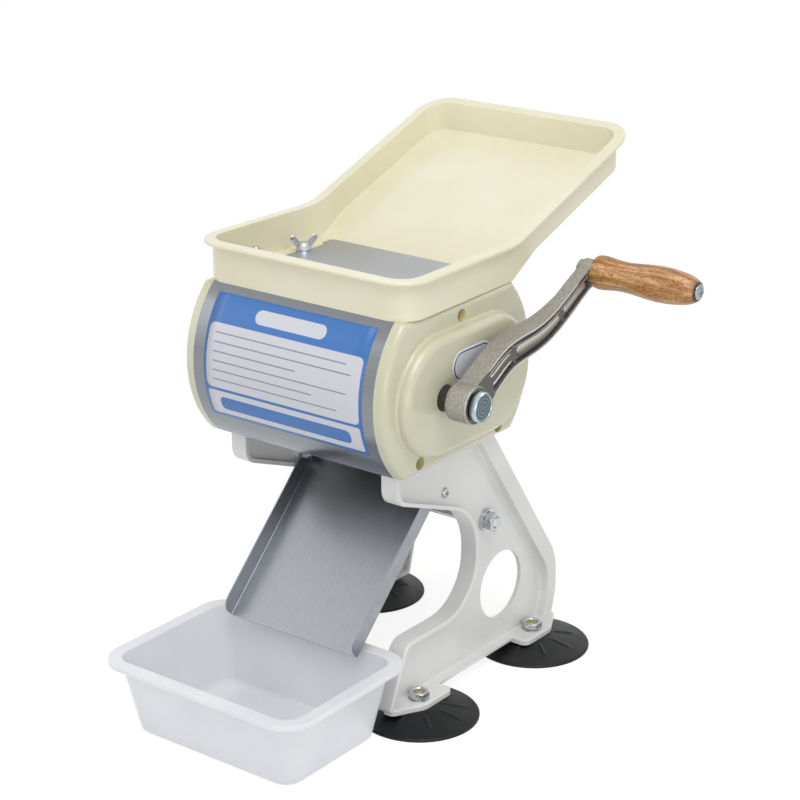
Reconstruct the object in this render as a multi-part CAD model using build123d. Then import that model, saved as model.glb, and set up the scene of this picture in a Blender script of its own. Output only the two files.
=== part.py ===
"""Hand crank meat slicer: two rows of round blades between end plates, on two cast legs.

Lengths are in millimetres and angles in degrees. +Z is up, +X points to the crank and -Y to
the chute. The origin lies on the table, midway between the four suction cups.
"""
from build123d import *
import math
import os

# Fits
overrun = 1.0               # how far every cut runs past the face that it opens
push_gap = 0.05             # push fit, on the radius
running_gap = 0.05          # turning fit, on the radius
hole_gap = 0.25             # clearance hole round a screw, on the radius
face_gap = 0.3              # between faces that turn or slide past each other
touch_gap = 0.001           # an edge this near to a plane lies in it

# Stance
cup_half_y = 70.8           # centres of the suction cups, from the middle
cup_side_reach = 2.5        # centres of the suction cups, outside the legs
leg_height = 188.0          # table to the underside of the body
overall_height = 380.0      # table to the top of the tray's back rim

# Body: two end plates wrapped in sheet, with a cover on each side
body_height = 109.0
body_flat_excess = 15.0     # the flat top and bottom are this much longer than the body is high
body_bulge_share = 0.211    # of the height: how far the front and back bulge out
body_mid_y = -39.0
shell_half_x = 78.4         # edge of the sheet, from the middle plane
shell_thickness = 1.0
shell_top_return = 15.0     # width of the sheet folded over the top of the end plates
shell_bottom_return = 33.0  # width of the sheet folded under the end plates
plate_inset = 3.9           # outer face of the end plates, inside the sheet's edge
plate_thickness = 8.0

# Shafts and bearings
gear_teeth = 20
gear_room_gap = 6.5         # tips of the teeth to the inside of the cover's housing
gear_width = 10.0
gear_hub_radius = 11.0
gear_hub_length = 4.5
gear_backlash = 0.5         # taken off the thickness of each pair of meeting teeth
gear_pressure_angle = 20.0
gear_dedendum_share = 1.25  # root of the teeth below the pitch circle, in modules
gear_flank_steps = 3        # straight pieces along each involute flank
axis_drop = 2.5             # shaft axes, below the middle of the body
journal_radius = 6.0
bush_wall = 2.0
bush_flange_radius = 11.0
bush_flange = 2.0
stack_hex_flats = 14.0      # across the flats, under the blades
drive_hex_flats = 10.0      # across the flats, under the gears and the crank
shoulder_gap = 1.0          # end plate to the gear's hub and to the retaining ring
ring_radius = 9.0
ring_thickness = 1.2
shaft_tail = 1.5            # shaft beyond the retaining ring

# Blades, spacers and combs
blade_overlap = 5.0         # blades past the middle between the shafts
blade_thickness = 1.0
blade_bevel = 3.0           # width of the ground edge
blade_count = 12            # on each shaft
blade_end_gap = 6.7         # outermost blades to the end plates
spacer_radius = 10.0
comb_gap = 0.6              # finger to blade and finger to spacer
comb_bar_depth = 12.0
comb_bar_height = 11.0
comb_bar_lift = 2.0         # bar above the bottom return of the shell
comb_root_reach = 15.0      # from the shaft axis to the finger's widest place
comb_front_angle = 205.0    # directions of the finger's two sides, seen from +X
comb_rear_angle = 275.0

# Covers
cover_flange = 9.1          # from the shell's edge to the flat face
cover_wall = 2.5
cover_edge_fillet = 5.0
cover_boss_rise = 9.0
cover_land = 12.5           # flat band above and below the gear housing
cover_boss_fillet = 5.5
cover_foot_fillet = 2.0
cover_fit_gap = 0.15        # spigot to the inside of the shell
recess_radius = 4.6
recess_depth = 8.0
recess_post_radius = 6.4
cover_screw_radius = 2.0
cover_screw_head_radius = 3.2
cover_screw_head = 2.4
cover_screw_bite = 6.0
top_recess_drop = 9.0       # recess centres, from the flat top and bottom of the body
bottom_recess_rise = 7.8
bottom_recess_inset = 16.5  # from the corners of the flat bottom

# Legs
leg_web = 3.0
leg_recess_depth = 7.0      # web below the outer face
leg_depth = 14.0            # over web and rim
leg_edge_fillet = 1.5
leg_web_fillet = 1.8
leg_pad_radius = 11.0       # pads on the inner side of the web, at the tie rod
leg_small_pad_radius = 6.0  # and at the chute
foot_lift = 8.0             # underside of the foot tabs, above the table
leg_sole_rise = 1.0         # underside of the leg between the tabs, above that
leg_toe_radius = 3.0
# Corner radii as shares of the leg's height
leg_brow_radius_share = 0.069
leg_neck_radius_share = 0.223
leg_step_radius_share = 0.202
leg_arch_radius_share = 0.064
leg_heel_radius_share = 0.08
leg_back_radius_share = 0.24
leg_shoulder_radius_share = 0.048
leg_window_radius_share = 0.138
# Rim widths: along the front and the arch, behind, over the foot and at the top
leg_front_rim = 3.0
leg_rear_rim = 14.0
leg_heel_rim = 12.0
leg_top_rim = 4.0
leg_front_side_count = 5    # sides of the outline in front of the sole
leg_rear_side_count = 3     # and behind it
foot_tab_middle_y = 3.2
foot_tab_inner_reach = 24.8  # from the cup's centre towards the middle
foot_tab_bend_reach = 8.0    # from the cup's centre outwards, where the tab starts to narrow
foot_tab_tip_reach = 1.0     # beyond the leg
foot_tab_side_reach = 12.5   # beyond the rim
foot_tab_inner_radius = 6.0
foot_tab_bend_radius = 16.0
foot_tab_tip_radius = 5.0
foot_tab_thickness = 4.0
foot_tab_edge_fillet = 1.0
# The leg's corners: y as shares of the foot's half length, z as shares of the leg's height
leg_top_front_share = (-0.913, 1.0)
leg_brow_share = (-0.913, 0.872)
leg_neck_top_share = (0.015, 0.683)
leg_neck_foot_share = (0.015, 0.303)
leg_instep_share = (-0.804, 0.303)
leg_heel_low_share = (1.06, 0.165)
leg_heel_high_share = (1.06, 0.319)
leg_top_rear_share = (0.169, 1.0)
leg_window_share = (0.42, 0.30)
tie_rod_share = (0.208, 0.612)
foot_overhang = 30.0        # foot beyond the centres of the cups, front and rear
# Tongues that stand up from the legs, inside the end plates
leg_tongue_thickness = 5.0
leg_tongue_height = 15.5
leg_tongue_half_length = 27.0
leg_bolt_rise = 10.0        # above the underside of the body
leg_bolt_reach = 18.0       # bolts, in front of and behind the middle of the body

# Fasteners of the legs
tie_rod_radius = 4.0
tie_sleeve_radius = 5.5
tie_nut_flats = 13.0
tie_nut_height = 6.5
tie_washer_radius = 8.5
tie_washer_thickness = 3.4  # a plain and a spring washer
tie_rod_tail = 1.2
leg_bolt_radius = 2.5
leg_bolt_head_flats = 8.0
leg_bolt_head = 3.5
gear_screw_radius = 3.0
gear_screw_length = 10.0
gear_screw_head_radius = 9.0
gear_screw_head = 2.4
cup_stud_radius = 4.0
cup_stud_tail = 0.4
cup_nut_flats = 13.0
cup_nut_height = 5.0
cup_washer_radius = 7.5
cup_washer_thickness = 1.2

# Suction cups
cup_radius = 43.0
cup_lip = 2.0               # height of the rim above the table
cup_seat_radius = 14.0      # flat top under the foot
cup_wall = 3.0
cup_ring_width = 3.0        # flat ring that rests on the table
cup_rib_count = 8
cup_rib_width = 1.2
cup_rib_rise = 0.6
cup_rib_middle_share = 0.45  # of the way from the seat to the rim
cup_rib_length_share = 0.6

# Chute
chute_side_gap = 2.5        # to the legs
chute_sheet = 1.0
chute_flange = 13.5
chute_bend_radius = 1.8
chute_corner_radius = 9.0
chute_tip_y = -115.2
chute_tip_z = 54.8
chute_top_y = 2.0
chute_top_drop = 18.0       # upper end, below the body
chute_screw_along_share = 0.79  # of the way up the slope
chute_screw_rise_share = 0.64   # of the flange
chute_screw_radius = 2.0
chute_screw_head_radius = 3.8
chute_screw_head = 2.2
chute_screw_tail = 1.0
chute_nut_flats = 7.0
chute_nut_height = 3.2
chute_washer_radius = 4.5

# Catch bin
bin_side_reach = 9.4        # rim outside the edge of the body's sheet
bin_mid_x = 3.9
bin_rim_front_y = -227.0
bin_rim_rear_y = -95.0
bin_height = 56.0
bin_rim_width = 8.0
bin_rim_drop = 3.5
bin_draft = 9.6             # each wall leans in this much from rim to base
bin_wall = 1.4
bin_corner_radius = 22.0
bin_base_radius = 5.0

# Tray
tray_side_reach = 10.6      # front walls outside the edge of the body's sheet
tray_taper = 3.0            # the walls draw in this much up to the bend
tray_wall = 2.5
tray_corner_radius = 18.0
tray_level_depth = 28.5     # rim above the underside, over the level floor
tray_bend_y = 20.4          # where the rim starts to climb
tray_back_y = 166.0         # back wall
tray_riser_run = 27.0       # short steep step behind the level floor
tray_riser_rise = 16.0
tray_lip_width = 6.0
tray_lip_drop = 3.0
tray_lip_fillet = 1.2
tray_bend_radius = 60.0
tray_floor_radius = 14.0
tray_level_radius = 4.0     # crease between the level floor and the riser
mouth_side_gap = 2.2        # outside the outermost blades
mouth_front_y = -76.0
mouth_rear_y = -16.0
mouth_radius = 6.0

# Feed plate and its fasteners
stud_radius = 2.5
stud_bite = 11.0
stud_y_reach = 26.0         # studs in front of and behind the middle of the body
front_stud_reach = 15.0     # above the tray's floor
feed_plate_side_reach = 1.0  # beyond the line of the studs
feed_plate_thickness = 1.2
feed_plate_front_y = -34.5
feed_plate_travel = 20.0
feed_plate_radius = 4.0
tray_nut_flats = 8.0
tray_nut_height = 13.0
wing_base_radius = 5.5
wing_top_radius = 3.8
wing_base_height = 5.0
wing_span = 20.0            # tip to tip
wing_rise = 11.0            # tips above the seat
wing_thickness = 1.6
wing_width = 5.0
wing_angle = 54.0           # direction of the wings, from +X

# Crank
crank_reach = 147.0         # shaft axis to handle axis, rearward
crank_rise = 57.0           # shaft axis to handle axis, upward
hub_gap = 7.5               # from the gear housing to the hub
hub_length = 18.0
hub_radius = 13.2
hub_fillet = 3.0            # at its inner end
hub_chamfer = 0.8           # at its outer end
arm_step = 2.3              # arm's outer face, behind the hub's
arm_root_thickness = 15.0
arm_tip_thickness = 9.5
arm_root_half_width = 10.7
arm_tip_half_width = 7.0
arm_border = 1.3
arm_pocket_depth = 4.5
arm_rib_width = 2.2
arm_spine_share = 0.34      # half width of the lengthwise rib, as a share of the arm's tip
arm_spine_drop = 0.9        # the lengthwise rib lies this much below the border
arm_spine_shoulder = 1.3    # and its sloping sides reach down this much further
arm_eye_radius = 8.0
collar_radius = 9.0
crank_screw_head_radius = 10.2
crank_screw_head = 4.4
crank_screw_neck_radius = 8.8
crank_screw_neck = 1.6
crank_screw_radius = 4.0
crank_screw_length = 16.0
crank_screw_fillet = 0.6
shaft_end_gap = 2.0         # shaft end behind the hub's outer face
arm_station_count = 14      # points along each edge of the arm
# Middle line of the arm, as shares of the reach and the rise
arm_path_shares = ((0, 0), (0.163, 0.205), (0.288, 0.372), (0.42, 0.432), (0.56, 0.487),
                   (0.70, 0.62), (0.84, 0.81), (1, 1))
# Along the middle line: where the pockets start and end, and the two cross ribs between them
arm_pocket_start_share = 0.14
arm_pocket_end_share = 0.93
arm_cross_rib_shares = (0.33, 0.70)
# Along the reach: where the inner side starts and ends its step outwards
arm_taper_shares = (0.50, 0.74)

# Handle
spindle_radius = 4.0
spindle_head_radius = 5.6
spindle_head = 1.8
spindle_head_fillet = 1.2
handle_nut_flats = 12.0
handle_nut_height = 4.5
grip_length = 81.0
grip_radius = 12.6
grip_end_fillet = 1.0
# Profile of the grip: along its length, and as a share of its largest radius
grip_profile_shares = ((0, 0.90), (0.05, 0.955), (0.15, 0.90), (0.30, 0.842), (0.46, 0.925),
                       (0.64, 1.0), (0.84, 0.90), (0.94, 0.745), (1, 0.52))

# Places that follow from the sizes above
body_flat = body_height + body_flat_excess
body_bulge = body_height * body_bulge_share
body_bottom_z = leg_height
body_top_z = body_bottom_z + body_height
body_mid_z = body_bottom_z + body_height / 2
body_arc_radius = ((body_height / 2) ** 2 + body_bulge ** 2) / (2 * body_bulge)
body_arc_centre = body_flat / 2 + body_bulge - body_arc_radius
plate_outer_x = shell_half_x - plate_inset
plate_inner_x = plate_outer_x - plate_thickness
plate_mid_x = plate_inner_x + plate_thickness / 2
cover_face_x = shell_half_x + cover_flange
cover_boss_x = cover_face_x + cover_boss_rise
cover_boss_radius = body_height / 2 - cover_land

gear_module = (cover_boss_radius - cover_wall - gear_room_gap) / (gear_teeth / 2 + 1)
shaft_spacing = gear_module * gear_teeth
axis_z = body_mid_z - axis_drop
crank_y = body_mid_y - shaft_spacing / 2
rear_y = body_mid_y + shaft_spacing / 2
bush_radius = journal_radius + running_gap + bush_wall
stack_half_x = plate_inner_x - bush_flange - face_gap
blade_radius = shaft_spacing / 2 + blade_overlap
blade_zone = 2 * (plate_inner_x - blade_end_gap)
blade_step = 2 * blade_zone / (2 * blade_count - 1)
front_first_x = -blade_zone / 2
rear_first_x = front_first_x + blade_step / 2
gear_start_x = plate_outer_x + shoulder_gap
gear_end_x = gear_start_x + gear_hub_length + gear_width
hub_start_x = cover_boss_x + hub_gap
hub_end_x = hub_start_x + hub_length
arm_outer_x = hub_end_x - arm_step
arm_root_x = arm_outer_x - arm_root_thickness
arm_tip_x = arm_outer_x - arm_tip_thickness
cover_hub_hole_radius = collar_radius + face_gap

foot_half_length = cup_half_y + foot_overhang
leg_rim_x = plate_outer_x
leg_inner_x = leg_rim_x - leg_depth
leg_web_x = leg_rim_x - leg_recess_depth
leg_sole_z = foot_lift + leg_sole_rise
cup_half_x = leg_rim_x + cup_side_reach
foot_top_z = foot_lift + foot_tab_thickness
tie_y = tie_rod_share[0] * foot_half_length
tie_z = tie_rod_share[1] * leg_height
leg_bolt_z = body_bottom_z + leg_bolt_rise

chute_half_width = leg_inner_x - chute_side_gap
chute_run = chute_top_y - chute_tip_y
chute_slope = math.atan((body_bottom_z - chute_top_drop - chute_tip_z) / chute_run)
chute_length = chute_run / math.cos(chute_slope)
chute_screw_along = chute_length * chute_screw_along_share
chute_screw_rise = chute_flange * chute_screw_rise_share
chute_screw_y = (chute_tip_y + chute_screw_along * math.cos(chute_slope)
                 - chute_screw_rise * math.sin(chute_slope))
chute_screw_z = (chute_tip_z + chute_screw_along * math.sin(chute_slope)
                 + chute_screw_rise * math.cos(chute_slope))
bin_half_x = shell_half_x + bin_side_reach

tray_half_x = shell_half_x + tray_side_reach
tray_waist_half_x = tray_half_x - tray_taper
mouth_half_x = blade_zone / 2 + mouth_side_gap
tray_front_y = body_mid_y - body_flat / 2
tray_level_end_y = body_mid_y + body_flat / 2
tray_rim_z = body_top_z + tray_level_depth
tray_slope_run = tray_back_y + tray_lip_width - tray_bend_y
tray_slope = math.atan((overall_height - tray_rim_z) / tray_slope_run)
tray_floor_z = body_top_z + tray_wall
tray_riser_half_turn = math.atan2(tray_riser_rise, tray_riser_run) / 2
tray_floor_end_y = tray_level_end_y - tray_wall * math.tan(tray_riser_half_turn)
feed_plate_half_x = plate_mid_x + feed_plate_side_reach
feed_plate_rear_y = (tray_floor_end_y - tray_level_radius * math.tan(tray_riser_half_turn)
                     - face_gap)
feed_plate_top_z = tray_floor_z + feed_plate_thickness
front_stud_y = body_mid_y - stud_y_reach
rear_stud_y = body_mid_y + stud_y_reach

handle_y = crank_y + crank_reach
handle_z = axis_z + crank_rise
grip_start_x = arm_outer_x + face_gap
grip_end_x = grip_start_x + grip_length
spindle_head_x = grip_end_x + face_gap


# Small helpers
def rounded_face(corners, radii, plane=Plane.YZ):
    """A face inside straight lines through the corners, each corner rounded."""
    return make_face(plane * FilletPolyline(*corners, radius=list(radii), close=True))


def slab(face, x_from, x_to):
    """An outline in the YZ plane, given thickness from one X place to another."""
    return Pos(x_from, 0, 0) * extrude(face, amount=x_to - x_from, dir=(1, 0, 0))


def column(face, z_from, z_to):
    """An outline in the XY plane, given height from one level to another."""
    return Pos(0, 0, z_from) * extrude(face, amount=z_to - z_from, dir=(0, 0, 1))


def rod(radius, x_from, x_to, y, z):
    """A cylinder along X."""
    return Pos((x_from + x_to) / 2, y, z) * Rot(Y=90) * Cylinder(radius, x_to - x_from)


def post(radius, z_from, z_to, x, y):
    """A cylinder along Z."""
    return Pos(x, y, (z_from + z_to) / 2) * Cylinder(radius, z_to - z_from)


def hex_rod(flats, x_from, x_to, y, z):
    """A hexagonal bar along X, measured across its flats."""
    outline = RegularPolygon(flats / 2, 6, major_radius=False)
    bar = extrude(outline, amount=x_to - x_from)
    return Pos(x_from, y, z) * Rot(Y=90) * bar


def hex_post(flats, z_from, z_to, x, y):
    """A hexagonal bar along Z, measured across its flats."""
    outline = RegularPolygon(flats / 2, 6, major_radius=False)
    return Pos(x, y, z_from) * extrude(outline, amount=z_to - z_from)


def block(x_from, x_to, y_from, y_to, z_from, z_to):
    """A box between two places on each axis."""
    centre = Pos((x_from + x_to) / 2, (y_from + y_to) / 2, (z_from + z_to) / 2)
    return centre * Box(x_to - x_from, y_to - y_from, z_to - z_from)


def edges_at(solid, place, axis=Axis.X):
    """The edges of a solid that lie in the plane at a place along an axis."""
    return solid.edges().filter_by_position(axis, place - touch_gap, place + touch_gap)


def mirrored(solid):
    """The same piece on the other side of the middle plane."""
    return mirror(solid, about=Plane.YZ)


def group(solids):
    """Several separate solids kept in one node."""
    return Compound(children=[piece.solid() for piece in solids])


def save(name, shape):
    """Writes one node."""
    export_step(shape, f"parts/{name}.step")


# Body
def body_outline(growth=0.0):
    """The body's outline, flat above and below with bulging arcs, grown or shrunk evenly."""
    radius = body_arc_radius + growth
    half_height = body_height / 2 + growth
    corner = body_arc_centre + math.sqrt(radius ** 2 - half_height ** 2)
    apex = body_arc_centre + radius
    low, high = body_mid_z - half_height, body_mid_z + half_height
    front, rear = body_mid_y - corner, body_mid_y + corner
    edges = [
        Line((front, low), (rear, low)),
        ThreePointArc((rear, low), (body_mid_y + apex, body_mid_z), (rear, high)),
        Line((rear, high), (front, high)),
        ThreePointArc((front, high), (body_mid_y - apex, body_mid_z), (front, low)),
    ]
    return make_face([Plane.YZ * edge for edge in edges])


def cover_screw_places():
    """The (y, z) places of the three screws of a cover."""
    low_z = body_bottom_z + bottom_recess_rise
    inset = body_flat / 2 - bottom_recess_inset
    return [
        (body_mid_y, body_top_z - top_recess_drop),
        (body_mid_y - inset, low_z),
        (body_mid_y + inset, low_z),
    ]


def comb_screw_places():
    """The (y, z) places of the screws that hold the comb bars."""
    height = body_bottom_z + shell_thickness + comb_bar_lift + comb_bar_height / 2
    reach = body_flat / 2 - comb_bar_depth / 2
    return [(body_mid_y - reach, height), (body_mid_y + reach, height)]


def right_end_plate():
    """An aluminium plate that carries both shafts, drilled for all that bolts to it."""
    plate = slab(body_outline(-shell_thickness), plate_inner_x, plate_outer_x)
    through = (plate_inner_x - overrun, plate_outer_x + overrun)
    for shaft_y in (crank_y, rear_y):
        plate -= rod(bush_radius, *through, shaft_y, axis_z)
    top_z = body_top_z - shell_thickness
    for stud_y in (front_stud_y, rear_stud_y):
        plate -= post(stud_radius, top_z - stud_bite, top_z + overrun, plate_mid_x, stud_y)
    for y, z in cover_screw_places():
        plate -= rod(cover_screw_radius, *through, y, z)
    for y, z in comb_screw_places():
        plate -= rod(cover_screw_radius, *through, y, z)
    for bolt_y in leg_bolt_places():
        plate -= rod(leg_bolt_radius + hole_gap, *through, bolt_y, leg_bolt_z)
    return plate


def leg_bolt_places():
    """The y places of the bolts between a leg and its end plate."""
    return [body_mid_y - leg_bolt_reach, body_mid_y + leg_bolt_reach]


def body_shell(side):
    """Bent sheet round the front (side -1) or the rear (side 1), folded over and under."""
    ring = slab(body_outline(), -shell_half_x, shell_half_x)
    ring -= slab(body_outline(-shell_thickness), -shell_half_x - overrun, shell_half_x + overrun)
    corner_y = body_mid_y + side * body_flat / 2
    reach = body_flat + body_bulge
    outer_y = corner_y + side * reach
    top_y = corner_y - side * shell_top_return
    bottom_y = corner_y - side * shell_bottom_return
    wide = shell_half_x + overrun
    upper = block(-wide, wide, min(top_y, outer_y), max(top_y, outer_y),
                  body_mid_z, body_top_z + overrun)
    lower = block(-wide, wide, min(bottom_y, outer_y), max(bottom_y, outer_y),
                  body_bottom_z - overrun, body_mid_z)
    return ring & (upper + lower)


def gear_room(radius):
    """The stadium outline round both gears."""
    oval = SlotCenterToCenter(shaft_spacing, 2 * radius)
    return Plane.YZ * Pos(body_mid_y, axis_z) * oval


def side_cover(hub_hole):
    """A moulded cover: a dished flange with a raised gear housing, open towards the plate."""
    cover = slab(body_outline(), shell_half_x, cover_face_x)
    cover = fillet(edges_at(cover, cover_face_x), cover_edge_fillet)
    boss = slab(gear_room(cover_boss_radius), cover_face_x - cover_wall, cover_boss_x)
    cover += boss
    cover = fillet(edges_at(cover, cover_boss_x), cover_boss_fillet)
    flat = cover.faces().filter_by_position(Axis.X, cover_face_x - touch_gap,
                                            cover_face_x + touch_gap)[0]
    cover = fillet(flat.inner_wires()[0].edges(), cover_foot_fillet)
    spigot_outer = body_outline(-shell_thickness - cover_fit_gap)
    cover += slab(spigot_outer, plate_outer_x, shell_half_x + overrun)
    inside = body_outline(-shell_thickness - cover_fit_gap - cover_wall)
    cover -= slab(inside, plate_outer_x - overrun, cover_face_x - cover_wall)
    cover -= slab(gear_room(cover_boss_radius - cover_wall),
                  cover_face_x - cover_wall - overrun, cover_boss_x - cover_wall)
    posts = [rod(recess_post_radius, plate_outer_x, cover_face_x - cover_wall, y, z)
             for y, z in cover_screw_places()]
    for screw_post in posts:
        cover += screw_post & slab(body_outline(-shell_thickness - cover_fit_gap),
                                   plate_outer_x, cover_face_x)
    for y, z in cover_screw_places():
        cover -= rod(recess_radius, cover_face_x - recess_depth, cover_face_x + overrun, y, z)
        cover -= rod(cover_screw_radius + hole_gap, plate_outer_x - overrun, cover_face_x, y, z)
    if hub_hole:
        cover -= rod(cover_hub_hole_radius, cover_face_x, cover_boss_x + overrun, crank_y, axis_z)
    return cover


def cover_screws():
    """Three screws a side, with their heads at the bottom of the recesses."""
    screws = []
    for y, z in cover_screw_places():
        seat_x = cover_face_x - recess_depth
        screw = rod(cover_screw_head_radius, seat_x, seat_x + cover_screw_head, y, z)
        screw += rod(cover_screw_radius, plate_outer_x - cover_screw_bite, seat_x, y, z)
        screws += [screw, mirrored(screw)]
    return group(screws)


# Shafts, blades and gears
def front_to_rear_places():
    """The (y, z) places of the four bearings' two axes."""
    return [(crank_y, axis_z), (rear_y, axis_z)]


def shaft_bushes():
    """Four flanged bushes, with the flange towards the blades."""
    bushes = []
    for y, z in front_to_rear_places():
        bush = rod(bush_radius, plate_inner_x, plate_outer_x, y, z)
        bush += rod(bush_flange_radius, plate_inner_x - bush_flange, plate_inner_x, y, z)
        bush -= rod(journal_radius + running_gap, plate_inner_x - bush_flange - overrun,
                    plate_outer_x + overrun, y, z)
        bushes += [bush, mirrored(bush)]
    return group(bushes)


def shaft(y, drive_end_x, tapped_radius, tapped_depth):
    """A shaft with a hexagon under the blades, journals, and a smaller hexagon to drive."""
    left_end_x = -plate_outer_x - shoulder_gap - ring_thickness - shaft_tail
    body = hex_rod(stack_hex_flats, -stack_half_x, stack_half_x, y, axis_z)
    body += rod(journal_radius, left_end_x, gear_start_x, y, axis_z)
    body += hex_rod(drive_hex_flats, gear_start_x, drive_end_x, y, axis_z)
    body -= rod(tapped_radius, drive_end_x - tapped_depth, drive_end_x + overrun, y, axis_z)
    return body


def retaining_ring(y):
    """A ring on the left end of a shaft, outside the end plate."""
    outer_x = -plate_outer_x - shoulder_gap
    ring = rod(ring_radius, outer_x - ring_thickness, outer_x, y, axis_z)
    return ring - rod(journal_radius, outer_x - ring_thickness - overrun, outer_x + overrun,
                      y, axis_z)


def blade(x, y):
    """A round blade with a ground edge on one side and a hexagonal bore."""
    half = blade_thickness / 2
    profile = [(x - half, 0), (x - half, blade_radius), (x, blade_radius),
               (x + half, blade_radius - blade_bevel), (x + half, 0)]
    disc = Pos(0, y, axis_z) * revolve(make_face(Polyline(*profile, close=True)), Axis.X)
    bore = hex_rod(stack_hex_flats + 2 * push_gap, x - half - overrun, x + half + overrun,
                   y, axis_z)
    return disc - bore


def blade_places(first_x):
    """The X places of the blades on a shaft."""
    return [first_x + index * blade_step for index in range(blade_count)]


def blade_set(first_x, y):
    """All the blades of one shaft."""
    return group([blade(x, y) for x in blade_places(first_x)])


def spacer_set(first_x, y):
    """The tubes between the blades of one shaft, and at the ends of the stack."""
    half = blade_thickness / 2
    starts = [-stack_half_x] + [x + half for x in blade_places(first_x)]
    ends = [x - half for x in blade_places(first_x)] + [stack_half_x]
    bore_flats = stack_hex_flats + 2 * push_gap
    spacers = []
    for start, end in zip(starts, ends):
        tube = rod(spacer_radius, start, end, y, axis_z)
        spacers.append(tube - hex_rod(bore_flats, start - overrun, end + overrun, y, axis_z))
    return group(spacers)


def tooth_flank(side):
    """Points of one involute flank from root to tip, about the tooth's middle line."""
    pitch_radius = gear_module * gear_teeth / 2
    base_radius = pitch_radius * math.cos(math.radians(gear_pressure_angle))
    root_radius = pitch_radius - gear_dedendum_share * gear_module
    tip_radius = pitch_radius + gear_module
    pressure = math.radians(gear_pressure_angle)
    half_thick = (math.pi * gear_module / 2 - gear_backlash / 2) / (2 * pitch_radius)
    half_at_base = half_thick + math.tan(pressure) - pressure
    points = [(root_radius, half_at_base)]
    for step in range(gear_flank_steps + 1):
        radius = base_radius + (tip_radius - base_radius) * step / gear_flank_steps
        roll = math.sqrt((radius / base_radius) ** 2 - 1)
        points.append((radius, half_at_base - (roll - math.atan(roll))))
    return [(radius, side * angle) for radius, angle in points]


def spur_gear(y, turn):
    """A spur gear with involute teeth, a hub on its inner side and a hexagonal bore."""
    points = []
    for index in range(gear_teeth):
        middle = turn + 2 * math.pi * index / gear_teeth
        rising, falling = tooth_flank(-1), tooth_flank(1)
        for radius, angle in rising + falling[::-1]:
            points.append((radius * math.cos(middle + angle), radius * math.sin(middle + angle)))
    face = Plane.YZ * make_face(Polyline(*points, close=True))
    teeth_start_x = gear_start_x + gear_hub_length
    gear = Pos(0, y, axis_z) * slab(face, teeth_start_x, gear_end_x)
    gear += rod(gear_hub_radius, gear_start_x, teeth_start_x, y, axis_z)
    return gear - hex_rod(drive_hex_flats + 2 * push_gap, gear_start_x - overrun,
                          gear_end_x + overrun, y, axis_z)


def gear_screw():
    """The screw that keeps the driven gear on the rear shaft."""
    head = rod(gear_screw_head_radius, gear_end_x, gear_end_x + gear_screw_head, rear_y, axis_z)
    return head + rod(gear_screw_radius, gear_end_x - gear_screw_length, gear_end_x,
                      rear_y, axis_z)


def comb(side, first_x, shaft_y):
    """A bar between the end plates with a finger in every gap of one shaft's blades."""
    bar_z = body_bottom_z + shell_thickness + comb_bar_lift
    corner_y = body_mid_y + side * body_flat / 2
    inner_y = corner_y - side * comb_bar_depth
    piece = block(-plate_inner_x, plate_inner_x, min(corner_y, inner_y), max(corner_y, inner_y),
                  bar_z, bar_z + comb_bar_height)
    for y, z in comb_screw_places():
        for end in (-1, 1):
            far = end * (plate_inner_x + overrun)
            near = end * (plate_inner_x - cover_screw_bite)
            piece -= rod(cover_screw_radius, min(near, far), max(near, far), y, z)
    half_width = (blade_step - blade_thickness) / 2 - comb_gap

    def reach_point(angle):
        direction = math.radians(angle)
        return (shaft_y - side * comb_root_reach * math.cos(direction),
                axis_z + comb_root_reach * math.sin(direction))

    outline = [
        (corner_y, bar_z + comb_bar_height),
        reach_point(comb_front_angle),
        (shaft_y, axis_z),
        reach_point(comb_rear_angle),
        (inner_y, bar_z),
    ]
    finger_face = make_face(Plane.YZ * Polyline(*outline, close=True))
    for x in blade_places(first_x)[:-1]:
        middle = x + blade_step / 2
        piece += slab(finger_face, middle - half_width, middle + half_width)
    return piece - rod(spacer_radius + comb_gap, -plate_inner_x, plate_inner_x, shaft_y, axis_z)


def comb_screws():
    """Two screws a side, through the end plates into the comb bars."""
    screws = []
    for y, z in comb_screw_places():
        screw = rod(cover_screw_head_radius, plate_outer_x, plate_outer_x + cover_screw_head, y, z)
        screw += rod(cover_screw_radius, plate_inner_x - cover_screw_bite, plate_outer_x, y, z)
        screws += [screw, mirrored(screw)]
    return group(screws)


# Crank and handle
def arm_line():
    """The middle line of the crank arm, from the shaft axis to the handle axis."""
    points = [(crank_y + crank_reach * along, axis_z + crank_rise * up)
              for along, up in arm_path_shares]
    return Spline(*points)


def arm_face(upper_inset, lower_inset, start, end):
    """The arm's outline between two shares of its length, its long sides drawn in."""
    line = arm_line()
    left, right = [], []
    for index in range(arm_station_count):
        share = start + (end - start) * index / (arm_station_count - 1)
        half = arm_root_half_width + (arm_tip_half_width - arm_root_half_width) * share
        point, along = line.position_at(share), line.tangent_at(share)
        upper, lower = half - upper_inset, half - lower_inset
        left.append((point.X - along.Y * upper, point.Y + along.X * upper))
        right.append((point.X + along.Y * lower, point.Y - along.X * lower))
    right.reverse()
    edges = [Spline(*left), Line(left[-1], right[0]), Spline(*right), Line(right[-1], left[0])]
    return make_face([Plane.YZ * edge for edge in edges])


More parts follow.
